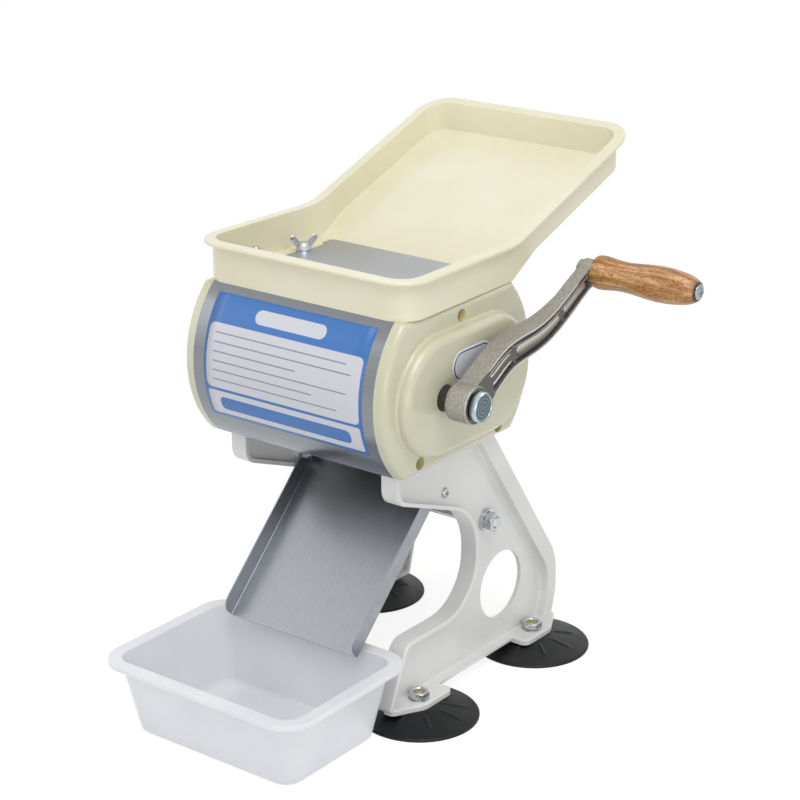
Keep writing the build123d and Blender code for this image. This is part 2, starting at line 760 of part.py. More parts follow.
def arm_pockets():
    """The pockets in the arm's outer face, on both sides of a lengthwise rib with sloping sides."""
    floor_x = arm_outer_x - arm_pocket_depth
    pockets = slab(arm_face(arm_border, arm_border, arm_pocket_start_share, arm_pocket_end_share),
                   floor_x, arm_outer_x + overrun)
    spine_half = arm_tip_half_width * arm_spine_share
    crest_inset = arm_tip_half_width - spine_half
    foot_inset = crest_inset - arm_spine_shoulder
    crest_x = arm_outer_x - arm_spine_drop
    shoulder_x = crest_x - arm_spine_shoulder
    crest = slab(arm_face(crest_inset, crest_inset, 0, 1), shoulder_x, crest_x)
    crest_edges = edges_at(crest, crest_x).sort_by(SortBy.LENGTH)[-2:]
    pockets -= fillet(crest_edges, spine_half / 2)
    pockets -= slab(arm_face(foot_inset, foot_inset, 0, 1), floor_x - overrun, shoulder_x)
    line = arm_line()
    for share in arm_cross_rib_shares:
        point, along = line.position_at(share), line.tangent_at(share)
        rib = Box(arm_root_thickness, arm_rib_width, 2 * arm_root_half_width)
        tilt = math.degrees(math.atan2(along.Y, along.X))
        rib_x = crest_x - arm_root_thickness / 2
        pockets -= Pos(rib_x, point.X, point.Y) * Rot(X=tilt) * rib
    return pockets


def crank_arm():
    """A cast arm: hub, S-shaped arm with ribbed pockets in its outer face, and an eye."""
    arm = slab(arm_face(0, 0, 0, 1), arm_root_x, arm_outer_x)
    arm += rod(arm_eye_radius, arm_root_x, arm_outer_x, handle_y, handle_z)
    start_y, end_y = [crank_y + crank_reach * share for share in arm_taper_shares]
    far_y = handle_y + arm_eye_radius + overrun
    wedge = make_face(Polyline((arm_root_x - overrun, start_y), (arm_root_x, start_y),
                               (arm_tip_x, end_y), (arm_tip_x, far_y),
                               (arm_root_x - overrun, far_y), close=True))
    arm -= column(wedge, axis_z, handle_z + crank_rise)
    arm -= arm_pockets()
    hub = rod(hub_radius, hub_start_x, hub_end_x, crank_y, axis_z)
    hub = chamfer(edges_at(hub, hub_end_x), hub_chamfer)
    hub = fillet(edges_at(hub, hub_start_x), hub_fillet)
    arm += hub
    arm -= hex_rod(drive_hex_flats + 2 * push_gap, hub_start_x - overrun, hub_end_x + overrun,
                   crank_y, axis_z)
    return arm - rod(spindle_radius, arm_root_x - overrun, arm_outer_x + overrun,
                     handle_y, handle_z)


def hub_collar():
    """The dark ring on the shaft between the gear and the crank's hub."""
    collar = rod(collar_radius, gear_end_x, hub_start_x, crank_y, axis_z)
    return collar - hex_rod(drive_hex_flats + 2 * push_gap, gear_end_x - overrun,
                            hub_start_x + overrun, crank_y, axis_z)


def crank_screw():
    """The large round screw that holds the crank on its shaft."""
    head_x = hub_end_x + crank_screw_neck
    head = rod(crank_screw_head_radius, head_x, head_x + crank_screw_head, crank_y, axis_z)
    head = fillet(head.edges().filter_by(GeomType.CIRCLE), crank_screw_fillet)
    head += rod(crank_screw_neck_radius, hub_end_x, head_x, crank_y, axis_z)
    return head + rod(crank_screw_radius, hub_end_x - crank_screw_length, hub_end_x,
                      crank_y, axis_z)


def handle_spindle():
    """The long screw through the grip, with a rounded head at its free end."""
    pin = rod(spindle_radius, arm_tip_x - handle_nut_height, spindle_head_x, handle_y, handle_z)
    head = rod(spindle_head_radius, spindle_head_x, spindle_head_x + spindle_head,
               handle_y, handle_z)
    return pin + fillet(edges_at(head, spindle_head_x + spindle_head), spindle_head_fillet)


def handle_nut():
    """The nut on the inner side of the arm's eye."""
    start_x = arm_tip_x - handle_nut_height
    nut = hex_rod(handle_nut_flats, start_x, arm_tip_x, handle_y, handle_z)
    return nut - rod(spindle_radius, start_x - overrun, arm_tip_x + overrun, handle_y, handle_z)


def wooden_grip():
    """A turned grip with a waist and a swell, bored for its spindle."""
    profile = [(grip_start_x + grip_length * along, grip_radius * size)
               for along, size in grip_profile_shares]
    start, end = profile[0], profile[-1]
    edges = [Spline(*profile), Line(end, (end[0], 0)), Line((end[0], 0), (start[0], 0)),
             Line((start[0], 0), start)]
    grip = revolve(make_face(edges), Axis.X)
    grip = Pos(0, handle_y, handle_z) * fillet(edges_at(grip, grip_start_x), grip_end_fillet)
    return grip - rod(spindle_radius + running_gap, grip_start_x - overrun, grip_end_x + overrun,
                      handle_y, handle_z)


# Legs and feet
def leg_point(share):
    """A corner of the leg, from its share of the foot's half length and the leg's height."""
    return share[0] * foot_half_length, share[1] * leg_height


def leg_corners():
    """The corners of the leg seen from the side, from its top front round by the foot."""
    return [
        leg_point(leg_top_front_share), leg_point(leg_brow_share),
        leg_point(leg_neck_top_share), leg_point(leg_neck_foot_share),
        leg_point(leg_instep_share), (-foot_half_length, leg_sole_z),
        (foot_half_length, leg_sole_z), leg_point(leg_heel_low_share),
        leg_point(leg_heel_high_share), leg_point(leg_top_rear_share),
    ]


def leg_radii(front_inset, rear_inset, shoulder):
    """The radii of the leg's corners, for an outline drawn in by a rim."""
    brow = leg_height * leg_brow_radius_share - front_inset
    neck = leg_height * leg_neck_radius_share + front_inset
    step = leg_height * leg_step_radius_share + front_inset
    arch = leg_height * leg_arch_radius_share - front_inset
    heel = leg_height * leg_heel_radius_share - rear_inset / 2
    back = leg_height * leg_back_radius_share - rear_inset
    return [leg_toe_radius, brow, neck, step, arch, leg_toe_radius, leg_toe_radius,
            heel, back, shoulder]


def drawn_in(corners, insets):
    """The corners of an outline after each of its sides has moved inwards by its own inset."""
    moved = []
    for index, here in enumerate(corners):
        before, after = corners[index - 1], corners[(index + 1) % len(corners)]
        sides = [(before, here, insets[index - 1]), (here, after, insets[index])]
        rows = []
        for start, end, inset in sides:
            length = math.dist(start, end)
            rows.append(((start[1] - end[1]) / length, (end[0] - start[0]) / length, inset))
        (a, b, first), (c, d, second) = rows
        turn = a * d - b * c
        moved.append((here[0] + (first * d - b * second) / turn,
                      here[1] + (a * second - first * c) / turn))
    return moved


def foot_tab(side):
    """A tab with rounded corners beyond the leg, over its front (-1) or rear (1) cup."""
    inner_y = foot_tab_middle_y + side * (cup_half_y - foot_tab_inner_reach)
    bend_y = foot_tab_middle_y + side * (cup_half_y + foot_tab_bend_reach)
    tip_y = foot_tab_middle_y + side * (foot_half_length + foot_tab_tip_reach)
    tip_x = leg_rim_x + foot_tab_side_reach
    corners = [(leg_web_x, inner_y), (tip_x, inner_y), (tip_x, bend_y), (leg_rim_x, tip_y),
               (leg_web_x, tip_y)]
    radii = [0, foot_tab_inner_radius, foot_tab_bend_radius, foot_tab_tip_radius, 0]
    tab = column(rounded_face(corners, radii, Plane.XY), foot_lift, foot_top_z)
    outer_edges = tab.edges().group_by(Axis.Z)[-1].filter_by_position(
        Axis.X, leg_web_x + overrun, tip_x)
    return fillet(outer_edges, foot_tab_edge_fillet)


def leg_tongue():
    """A tongue that stands up inside the end plate, tapped for the leg's bolts."""
    tongue = block(plate_inner_x - leg_tongue_thickness, plate_inner_x,
                   body_mid_y - leg_tongue_half_length, body_mid_y + leg_tongue_half_length,
                   body_bottom_z - leg_top_rim, body_bottom_z + leg_tongue_height)
    for bolt_y in leg_bolt_places():
        tongue -= rod(leg_bolt_radius, plate_inner_x - leg_tongue_thickness - overrun,
                      plate_inner_x + overrun, bolt_y, leg_bolt_z)
    return tongue


def right_leg():
    """A cast leg: a thin web with a rim all round, a window, two foot tabs and a tongue."""
    corners = leg_corners()
    outline = rounded_face(corners, leg_radii(0, 0, leg_height * leg_shoulder_radius_share))
    leg = slab(outline, leg_inner_x, leg_rim_x)
    leg = fillet(edges_at(leg, leg_rim_x), leg_edge_fillet)
    sole_rim = foot_top_z - leg_sole_z
    front_insets = [leg_front_rim] * leg_front_side_count
    outer_insets = front_insets + [sole_rim, leg_heel_rim, leg_heel_rim, leg_rear_rim,
                                   leg_top_rim]
    outer_recess = rounded_face(drawn_in(corners, outer_insets),
                                leg_radii(leg_front_rim, leg_rear_rim, leg_toe_radius))
    recess = slab(outer_recess, leg_web_x, leg_rim_x + overrun)
    leg -= fillet(edges_at(recess, leg_web_x), leg_web_fillet)
    rear_insets = [leg_front_rim] * leg_rear_side_count
    inner_insets = front_insets + [sole_rim] + rear_insets + [leg_top_rim]
    inner_recess = rounded_face(drawn_in(corners, inner_insets),
                                leg_radii(leg_front_rim, leg_front_rim, leg_toe_radius))
    pocket = slab(inner_recess, leg_inner_x - overrun, leg_web_x - leg_web)
    pads = (leg_inner_x - overrun, leg_web_x - leg_web + overrun)
    pocket -= rod(leg_pad_radius, *pads, tie_y, tie_z)
    pocket -= rod(leg_small_pad_radius, *pads, chute_screw_y, chute_screw_z)
    leg -= pocket
    for side in (-1, 1):
        leg += foot_tab(side)
        leg -= post(cup_stud_radius + hole_gap, foot_lift - overrun, foot_top_z + overrun,
                    cup_half_x, side * cup_half_y)
    window_y, window_z = leg_point(leg_window_share)
    through = (leg_inner_x - overrun, leg_rim_x + overrun)
    leg -= rod(leg_height * leg_window_radius_share, *through, window_y, window_z)
    leg -= rod(tie_rod_radius + hole_gap, *through, tie_y, tie_z)
    leg -= rod(chute_screw_radius + hole_gap, *through, chute_screw_y, chute_screw_z)
    return leg + leg_tongue()


def leg_bolts():
    """Hexagon bolts through the end plates into the legs' tongues."""
    bolts = []
    for bolt_y in leg_bolt_places():
        bolt = hex_rod(leg_bolt_head_flats, plate_outer_x, plate_outer_x + leg_bolt_head,
                       bolt_y, leg_bolt_z)
        bolt += rod(leg_bolt_radius, plate_inner_x - leg_tongue_thickness, plate_outer_x,
                    bolt_y, leg_bolt_z)
        bolts += [bolt, mirrored(bolt)]
    return group(bolts)


def tie_rod():
    """The rod that ties the legs together."""
    end_x = leg_web_x + tie_washer_thickness + tie_nut_height + tie_rod_tail
    return rod(tie_rod_radius, -end_x, end_x, tie_y, tie_z)


def tie_sleeve():
    """The tube on the tie rod that holds the legs apart."""
    tube = rod(tie_sleeve_radius, -leg_inner_x, leg_inner_x, tie_y, tie_z)
    return tube - rod(tie_rod_radius, -leg_inner_x - overrun, leg_inner_x + overrun, tie_y, tie_z)


def tie_rod_washers():
    """A washer under each tie rod nut."""
    end_x = leg_web_x + tie_washer_thickness
    washer = rod(tie_washer_radius, leg_web_x, end_x, tie_y, tie_z)
    washer -= rod(tie_rod_radius, leg_web_x - overrun, end_x + overrun, tie_y, tie_z)
    return group([washer, mirrored(washer)])


def tie_rod_nuts():
    """A hexagon nut on each end of the tie rod."""
    start_x = leg_web_x + tie_washer_thickness
    end_x = start_x + tie_nut_height
    nut = hex_rod(tie_nut_flats, start_x, end_x, tie_y, tie_z)
    nut -= rod(tie_rod_radius, start_x - overrun, end_x + overrun, tie_y, tie_z)
    return group([nut, mirrored(nut)])


def suction_cup(x, y):
    """A rubber cup, hollow below, that rests on a flat ring, with ribs on its crown."""
    inner_radius = cup_radius - cup_ring_width
    outline = [
        (0, foot_lift), (cup_seat_radius, foot_lift), (cup_radius, cup_lip), (cup_radius, 0),
        (inner_radius, 0), (cup_seat_radius, foot_lift - cup_wall), (0, foot_lift - cup_wall),
    ]
    cup = revolve(make_face(Plane.XZ * Polyline(*outline, close=True)), Axis.Z)
    slope = math.atan2(foot_lift - cup_lip, cup_radius - cup_seat_radius)
    run = cup_radius - cup_seat_radius
    rib_middle = cup_seat_radius + run * cup_rib_middle_share
    start = Pos(rib_middle, 0, foot_lift - (rib_middle - cup_seat_radius) * math.tan(slope))
    rib_length = run * cup_rib_length_share
    rib = start * Rot(Y=math.degrees(slope)) * Box(rib_length, cup_rib_width, 2 * cup_rib_rise)
    for index in range(cup_rib_count):
        cup += Rot(Z=360 * index / cup_rib_count) * rib
    cup -= post(cup_stud_radius, foot_lift - cup_wall / 2, foot_lift + overrun, 0, 0)
    return Pos(x, y, 0) * cup


def cup_places():
    """The centres of the four suction cups."""
    return [(x, y) for x in (-cup_half_x, cup_half_x) for y in (-cup_half_y, cup_half_y)]


def cup_nut_top_z():
    """Top of the nuts on the feet."""
    return foot_top_z + cup_washer_thickness + cup_nut_height


def cup_studs():
    """The threaded studs moulded into the cups."""
    top_z = cup_nut_top_z() + cup_stud_tail
    return group([post(cup_stud_radius, foot_lift - cup_wall / 2, top_z, x, y)
                  for x, y in cup_places()])


def cup_washers():
    """A washer on top of each foot tab."""
    top_z = foot_top_z + cup_washer_thickness
    return group([post(cup_washer_radius, foot_top_z, top_z, x, y)
                  - post(cup_stud_radius, foot_top_z - overrun, top_z + overrun, x, y)
                  for x, y in cup_places()])


def cup_nuts():
    """A hexagon nut on each cup's stud."""
    low_z = foot_top_z + cup_washer_thickness
    return group([hex_post(cup_nut_flats, low_z, cup_nut_top_z(), x, y)
                  - post(cup_stud_radius, low_z - overrun, cup_nut_top_z() + overrun, x, y)
                  for x, y in cup_places()])


# Chute
def chute_box(inset, overhang, bend_radius):
    """A box along the slope of the chute, its two lower long edges rounded."""
    box = Box(2 * (chute_half_width - inset), chute_length + 2 * overhang, chute_flange,
              align=(Align.CENTER, Align.MIN, Align.MIN))
    box = fillet(box.edges().filter_by(Axis.Y).group_by(Axis.Z)[0], bend_radius)
    return Pos(0, -overhang, inset) * box


def chute():
    """A sloping channel of folded sheet, its side flanges rounded off at the lower end."""
    channel = chute_box(0, 0, chute_bend_radius)
    channel -= chute_box(chute_sheet, overrun, chute_bend_radius - chute_sheet)
    tip_edges = edges_at(channel, 0, Axis.Y).filter_by(Axis.X)
    flange_edges = tip_edges.filter_by_position(Axis.Z, chute_flange - touch_gap,
                                                chute_flange + touch_gap)
    channel = fillet(flange_edges, chute_corner_radius)
    slope = Location((0, chute_tip_y, chute_tip_z), (math.degrees(chute_slope), 0, 0))
    return slope * channel - rod(chute_screw_radius + hole_gap, -chute_half_width - overrun,
                                 chute_half_width + overrun, chute_screw_y, chute_screw_z)


def chute_screws():
    """A screw on each side, through the leg into the chute's flange."""
    screw = rod(chute_screw_head_radius, leg_web_x, leg_web_x + chute_screw_head,
                chute_screw_y, chute_screw_z)
    inner_x = chute_half_width - chute_sheet - chute_nut_height - chute_screw_tail
    screw += rod(chute_screw_radius, inner_x, leg_web_x, chute_screw_y, chute_screw_z)
    return group([screw, mirrored(screw)])


def chute_washers():
    """Spacing washers between the chute's flanges and the legs."""
    washer = rod(chute_washer_radius, chute_half_width, leg_inner_x, chute_screw_y, chute_screw_z)
    washer -= rod(chute_screw_radius, chute_half_width - overrun, leg_inner_x + overrun,
                  chute_screw_y, chute_screw_z)
    return group([washer, mirrored(washer)])


def chute_nuts():
    """A nut inside each flange of the chute."""
    end_x = chute_half_width - chute_sheet
    nut = hex_rod(chute_nut_flats, end_x - chute_nut_height, end_x, chute_screw_y, chute_screw_z)
    nut -= rod(chute_screw_radius, end_x - chute_nut_height - overrun, end_x + overrun,
               chute_screw_y, chute_screw_z)
    return group([nut, mirrored(nut)])


# Catch bin
def bin_plan(height, inset, radius_inset):
    """The bin's plan at a height, drawn in from its rim."""
    width = 2 * (bin_half_x - inset)
    depth = bin_rim_rear_y - bin_rim_front_y - 2 * inset
    middle_y = (bin_rim_front_y + bin_rim_rear_y) / 2
    plan = RectangleRounded(width, depth, bin_corner_radius - radius_inset)
    return Pos(bin_mid_x, middle_y, height) * plan


def catch_bin():
    """A thin drafted bin with a flat rim turned down at its edge."""
    base_inset = bin_rim_width + bin_draft
    outer = loft([bin_plan(0, base_inset, bin_rim_width),
                  bin_plan(bin_height, bin_rim_width, bin_rim_width)])
    outer = fillet(outer.edges().group_by(Axis.Z)[0], bin_base_radius)
    flange = column(bin_plan(0, 0, 0), bin_height - bin_wall, bin_height)
    drop = column(bin_plan(0, 0, 0), bin_height - bin_rim_drop, bin_height)
    drop -= column(bin_plan(0, bin_wall, bin_wall), bin_height - bin_rim_drop - overrun,
                   bin_height - bin_wall)
    wall_inset = bin_rim_width + bin_wall
    inner = loft([bin_plan(bin_wall, base_inset + bin_wall, wall_inset),
                  bin_plan(bin_height + overrun, wall_inset, wall_inset)])
    inner = fillet(inner.edges().group_by(Axis.Z)[0], bin_base_radius - bin_wall)
    return outer + flange + drop - inner


# Tray
def tray_plan(inset):
    """The tray's plan, narrowing from the front to the bend, drawn in by an inset."""
    wide, narrow = tray_half_x - inset, tray_waist_half_x - inset
    front, back = tray_front_y + inset, tray_back_y - inset
    corners = [(-wide, front), (wide, front), (narrow, tray_bend_y), (narrow, back),
               (-narrow, back), (-narrow, tray_bend_y)]
    round_radius = tray_corner_radius - inset
    radii = [round_radius, round_radius, tray_bend_radius, round_radius, round_radius,
             tray_bend_radius]
    return rounded_face(corners, radii, Plane.XY)


def tray_rim_height(y, drop):
    """Height of the sloping rim line at a place behind the bend."""
    return tray_rim_z - drop + (y - tray_bend_y) * math.tan(tray_slope)


def tray_side(lift, rim_lift):
    """The tray's side view between its floor line and its rim line."""
    front, back = tray_front_y - tray_lip_width - overrun, tray_back_y + tray_lip_width
    floor_z = body_top_z + lift
    riser_end_y = tray_level_end_y + tray_riser_run
    riser_end_z = floor_z + tray_riser_rise
    back_z = riser_end_z + (back - riser_end_y) * math.tan(tray_slope)
    corners = [
        (front, floor_z),
        (tray_level_end_y - lift * math.tan(tray_riser_half_turn), floor_z),
        (riser_end_y, riser_end_z), (back, back_z),
        (back, tray_rim_height(back, -rim_lift)), (tray_bend_y, tray_rim_z + rim_lift),
        (front, tray_rim_z + rim_lift),
    ]
    radii = [0, tray_level_radius, tray_floor_radius, 0, 0, tray_bend_radius, 0]
    return rounded_face(corners, radii)


def tray_lip_side():
    """The side view of the lip, a band under the rim line."""
    front, back = tray_front_y - tray_lip_width - overrun, tray_back_y + tray_lip_width
    low_bend_y = tray_bend_y + tray_lip_drop * math.tan(tray_slope / 2)
    corners = [
        (back, tray_rim_height(back, 0)), (tray_bend_y, tray_rim_z), (front, tray_rim_z),
        (front, tray_rim_z - tray_lip_drop), (low_bend_y, tray_rim_z - tray_lip_drop),
        (back, tray_rim_height(back, tray_lip_drop / math.cos(tray_slope))),
    ]
    return rounded_face(corners, [0, tray_bend_radius, 0, 0, tray_bend_radius, 0])


def tray():
    """The feed tray: a level front with the feed mouth, an inclined back and a lip all round."""
    reach = tray_half_x + tray_lip_width + overrun
    low, high = body_top_z - overrun, overall_height + tray_level_depth
    outer = column(tray_plan(0), low, high) & slab(tray_side(0, 0), -reach, reach)
    lip = column(tray_plan(-tray_lip_width), low, high) & slab(tray_lip_side(), -reach, reach)
    lip = fillet(lip.faces().sort_by(Axis.Z)[-1].edges(), tray_lip_fillet)
    inner = column(tray_plan(tray_wall), low, high)
    inner &= slab(tray_side(tray_wall, overrun), -reach, reach)
    body = outer + lip - inner
    mouth_mid_y = (mouth_front_y + mouth_rear_y) / 2
    mouth = Pos(0, mouth_mid_y) * RectangleRounded(2 * mouth_half_x, mouth_rear_y - mouth_front_y,
                                                   mouth_radius)
    body -= column(mouth, body_top_z - overrun, tray_floor_z + overrun)
    for x in (-plate_mid_x, plate_mid_x):
        for y in (front_stud_y, rear_stud_y):
            body -= post(stud_radius + hole_gap, body_top_z - overrun, tray_floor_z + overrun,
                         x, y)
    return body


def tray_studs():
    """Threaded studs from the end plates up through the tray."""
    low_z = body_top_z - shell_thickness - stud_bite
    rear_top_z = feed_plate_top_z + wing_base_height
    return group([post(stud_radius, low_z, top_z, x, y)
                  for x in (-plate_mid_x, plate_mid_x)
                  for y, top_z in ((front_stud_y, tray_floor_z + front_stud_reach),
                                   (rear_stud_y, rear_top_z))])


def tray_nuts():
    """Tall hexagon nuts on the two front studs."""
    top_z = tray_floor_z + tray_nut_height
    return group([hex_post(tray_nut_flats, tray_floor_z, top_z, x, front_stud_y)
                  - post(stud_radius, tray_floor_z - overrun, top_z + overrun, x, front_stud_y)
                  for x in (-plate_mid_x, plate_mid_x)])


def feed_plate():
    """A sliding plate on the level floor, notched at each side for the rear studs."""
    middle_y = (feed_plate_front_y + feed_plate_rear_y) / 2
    plan = Pos(0, middle_y) * RectangleRounded(
        2 * feed_plate_half_x, feed_plate_rear_y - feed_plate_front_y, feed_plate_radius)
    plate = column(plan, tray_floor_z, feed_plate_top_z)
    free = stud_radius + face_gap
    for side in (-1, 1):
        inner_x = side * (plate_mid_x - free)
        outer_x = side * (feed_plate_half_x + overrun)
        notch = block(min(inner_x, outer_x), max(inner_x, outer_x), rear_stud_y - free,
                      rear_stud_y + feed_plate_travel + free, tray_floor_z - overrun,
                      feed_plate_top_z + overrun)
        plate -= notch
    return plate


def wing_nut(x):
    """A wing nut on a rear stud, over the edge of the feed plate."""
    seat_z = feed_plate_top_z
    base = Pos(0, 0, wing_base_height / 2) * Cone(wing_base_radius, wing_top_radius,
                                                  wing_base_height)
    wing_profile = [
        (0, 0), (wing_base_radius, 0), (wing_span / 2, wing_rise - wing_width / 2),
        (wing_span / 2 - wing_width / 2, wing_rise), (wing_span / 2 - wing_width, wing_rise),
        (wing_top_radius, wing_base_height),
        (0, wing_base_height),
    ]
    wing = extrude(make_face(Plane.XZ * Polyline(*wing_profile, close=True)),
                   amount=wing_thickness / 2, both=True)
    nut = base + wing + Rot(Z=180) * wing
    nut -= post(stud_radius, -overrun, wing_rise + overrun, 0, 0)
    return Pos(x, rear_stud_y, seat_z) * Rot(Z=wing_angle) * nut


def main():
    """Builds every node and writes it."""
    os.makedirs("parts", exist_ok=True)
    plate, leg = right_end_plate(), right_leg()
    nodes = {
        "right_leg": leg,
        "left_leg": mirrored(leg),
        "leg_bolts": leg_bolts(),
        "tie_rod": tie_rod(),
        "tie_sleeve": tie_sleeve(),
        "tie_rod_washers": tie_rod_washers(),
        "tie_rod_nuts": tie_rod_nuts(),
        "right_end_plate": plate,
        "left_end_plate": mirrored(plate),
        "front_shell": body_shell(-1),
        "rear_shell": body_shell(1),
        "right_cover": side_cover(hub_hole=True),
        "left_cover": mirrored(side_cover(hub_hole=False)),
        "cover_screws": cover_screws(),
        "shaft_bushes": shaft_bushes(),
        "front_comb": comb(-1, front_first_x, crank_y),
        "rear_comb": comb(1, rear_first_x, rear_y),
        "comb_screws": comb_screws(),
        "chute": chute(),
        "chute_screws": chute_screws(),
        "chute_washers": chute_washers(),
        "chute_nuts": chute_nuts(),
        "tray": tray(),
        "tray_studs": tray_studs(),
        "tray_nuts": tray_nuts(),
        "cup_studs": cup_studs(),
        "cup_washers": cup_washers(),
        "cup_nuts": cup_nuts(),
        "crank_shaft": shaft(crank_y, hub_end_x - shaft_end_gap, crank_screw_radius,
                             crank_screw_length),
        "front_blades": blade_set(front_first_x, crank_y),
        "front_spacers": spacer_set(front_first_x, crank_y),
        "crank_shaft_ring": retaining_ring(crank_y),
        "drive_gear": spur_gear(crank_y, 0.0),
        "hub_collar": hub_collar(),
        "crank_arm": crank_arm(),
        "crank_screw": crank_screw(),
        "handle_spindle": handle_spindle(),
        "handle_nut": handle_nut(),
        "wooden_grip": wooden_grip(),
        "rear_shaft": shaft(rear_y, gear_end_x, gear_screw_radius, gear_screw_length),
        "rear_blades": blade_set(rear_first_x, rear_y),
        "rear_spacers": spacer_set(rear_first_x, rear_y),
        "rear_shaft_ring": retaining_ring(rear_y),
        "driven_gear": spur_gear(rear_y, math.pi / gear_teeth),
        "gear_screw": gear_screw(),
        "feed_plate": feed_plate(),
        "right_wing_nut": wing_nut(plate_mid_x),
        "left_wing_nut": wing_nut(-plate_mid_x),
        "catch_bin": catch_bin(),
    }
    for name, (x, y) in zip(("front_left_cup", "rear_left_cup", "front_right_cup",
                             "rear_right_cup"), cup_places()):
        nodes[name] = suction_cup(x, y)
    for name, shape in nodes.items():
        save(name, shape)


main()
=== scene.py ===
"""Hand crank meat slicer: finishes, fasteners, label and studio round the packed CAD model.

Sizes are in millimetres in formulas, and turn into metres once, when a mesh is made.
"""
import math

import bmesh
import bpy
import numpy as np
from bpy.props import FloatProperty, FloatVectorProperty, IntProperty, PointerProperty
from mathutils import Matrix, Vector


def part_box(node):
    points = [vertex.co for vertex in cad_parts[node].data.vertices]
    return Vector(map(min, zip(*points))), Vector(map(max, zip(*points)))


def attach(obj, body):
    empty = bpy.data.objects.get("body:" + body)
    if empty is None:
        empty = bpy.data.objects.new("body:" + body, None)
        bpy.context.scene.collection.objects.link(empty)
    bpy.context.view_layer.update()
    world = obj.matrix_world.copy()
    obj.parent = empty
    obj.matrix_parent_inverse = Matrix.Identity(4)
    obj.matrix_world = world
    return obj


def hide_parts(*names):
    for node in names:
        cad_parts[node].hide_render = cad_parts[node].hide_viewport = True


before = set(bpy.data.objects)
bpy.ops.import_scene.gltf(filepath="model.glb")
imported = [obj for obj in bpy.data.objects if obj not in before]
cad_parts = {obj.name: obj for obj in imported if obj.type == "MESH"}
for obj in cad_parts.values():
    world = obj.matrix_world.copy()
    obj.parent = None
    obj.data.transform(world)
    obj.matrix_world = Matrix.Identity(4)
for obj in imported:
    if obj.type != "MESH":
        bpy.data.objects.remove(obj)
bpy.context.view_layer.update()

bl_info = {
    "name": "Meat Slicer Finishes",
    "version": (1, 0, 0),
    "blender": (4, 5, 0),
    "location": "3D View > Sidebar > Slicer",
    "description": "Finishes, fasteners, label and studio for the hand crank meat slicer",
    "category": "Object",
}

MM = 0.001


def box_mm(node):
    """Lowest and highest corner of a CAD node, in millimetres."""
    low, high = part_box(node)
    return np.array(low) / MM, np.array(high) / MM


def centre_mm(node):
    """Middle of a CAD node's box, in millimetres."""
    low, high = box_mm(node)
    return (low + high) / 2


# Places read from the frame
SHAFT_Y, SHAFT_Z = centre_mm("crank_screw")[1:]
GRIP_Y, GRIP_Z = centre_mm("wooden_grip")[1:]
TIE_Y, TIE_Z = centre_mm("tie_rod")[1:]
ARM_TOP_X = box_mm("crank_arm")[1][0]
GRIP_END_X = box_mm("wooden_grip")[1][0]

# Sizes of CAD pieces that their boxes don't give, in millimetres
ROD_RADIUS = 4.0  # cup studs, tie rod and handle spindle
TRAY_STUD_RADIUS = 2.5
COVER_SCREW_RADIUS = 3.2
COVER_RECESS_RADIUS = 4.61
BULGE_RADIUS = 76.07  # front sheet
ARM_FACE_DROP = 2.3  # from the end of the crank's hub to the arm's face
SPINE_DROP = 3.2  # and to the crest of the arm's spine

# Finishes that several functions name
ZINC = "zinc-plated steel"
YELLOW_ZINC = "yellow-passivated zinc"
BLADE_STEEL = "ground blade steel"
RUBBER = "moulded black rubber"
COVER_ABS = "cream ABS of the covers"

OWN_MAP = "Surface"  # UV map of a new piece
NOISE_LOW, NOISE_HIGH = 0.3, 0.7  # a noise lies mostly between these


# Colours and nodes
def linear(code):
    """sRGB hex colour as linear RGBA: each channel c becomes ((c + 0.055) / 1.055) ^ 2.4."""
    channels = np.array([int(code[i:i + 2], 16) for i in (1, 3, 5)]) / 255
    low, high = channels / 12.92, ((channels + 0.055) / 1.055) ** 2.4
    return (*np.where(channels <= 0.04045, low, high).tolist(), 1.0)


def add_node(tree, kind, inputs=None, **options):
    """Adds a node, sets its options, and sets or links its inputs by name or number."""
    node = tree.nodes.new(kind)
    for name, value in options.items():
        setattr(node, name, value)
    for key, value in (inputs or {}).items():
        if isinstance(value, bpy.types.NodeSocket):
            tree.links.new(value, node.inputs[key])
        else:
            node.inputs[key].default_value = value
    return node


def add_ramp(tree, factor, stops):
    """Colour from a ramp whose stops are (position, colour) pairs."""
    ramp = add_node(tree, "ShaderNodeValToRGB", {"Fac": factor})
    elements = ramp.color_ramp.elements
    elements[0].position, elements[0].color = stops[0]
    elements[1].position, elements[1].color = stops[-1]
    for position, colour in stops[1:-1]:
        elements.new(position).color = colour
    return ramp.outputs["Color"]


def new_material(name, **sockets):
    """A material with one Principled shader whose sockets are set directly."""
    material = bpy.data.materials.new(name)
    material.use_nodes = True
    tree = material.node_tree
    shader = tree.nodes["Principled BSDF"]
    for key, value in sockets.items():
        shader.inputs[key.replace("_", " ")].default_value = value
    return tree, shader


def add_relief(tree, shader, height, distance_mm, strength=1.0):
    """Bump of a real depth from a height between 0 and 1; its strength may vary by a socket."""
    bump = add_node(tree, "ShaderNodeBump", {"Height": height, "Distance": distance_mm * MM,
                                             "Strength": strength})
    tree.links.new(bump.outputs["Normal"], shader.inputs["Normal"])


def object_point(tree):
    """The point in the piece's Object coordinates, in metres."""
    return add_node(tree, "ShaderNodeTexCoord").outputs["Object"]


def map_point(tree):
    """The point on the piece's own UV map."""
    return add_node(tree, "ShaderNodeUVMap", uv_map=OWN_MAP).outputs["UV"]


def part_of(tree, vector, axis):
    """A vector's part along X, Y or Z."""
    return add_node(tree, "ShaderNodeSeparateXYZ", {"Vector": vector}).outputs[axis]


def number_math(tree, operation, first, second):
    """Result of an operation on two numbers."""
    return add_node(tree, "ShaderNodeMath", {0: first, 1: second},
                    operation=operation).outputs["Value"]


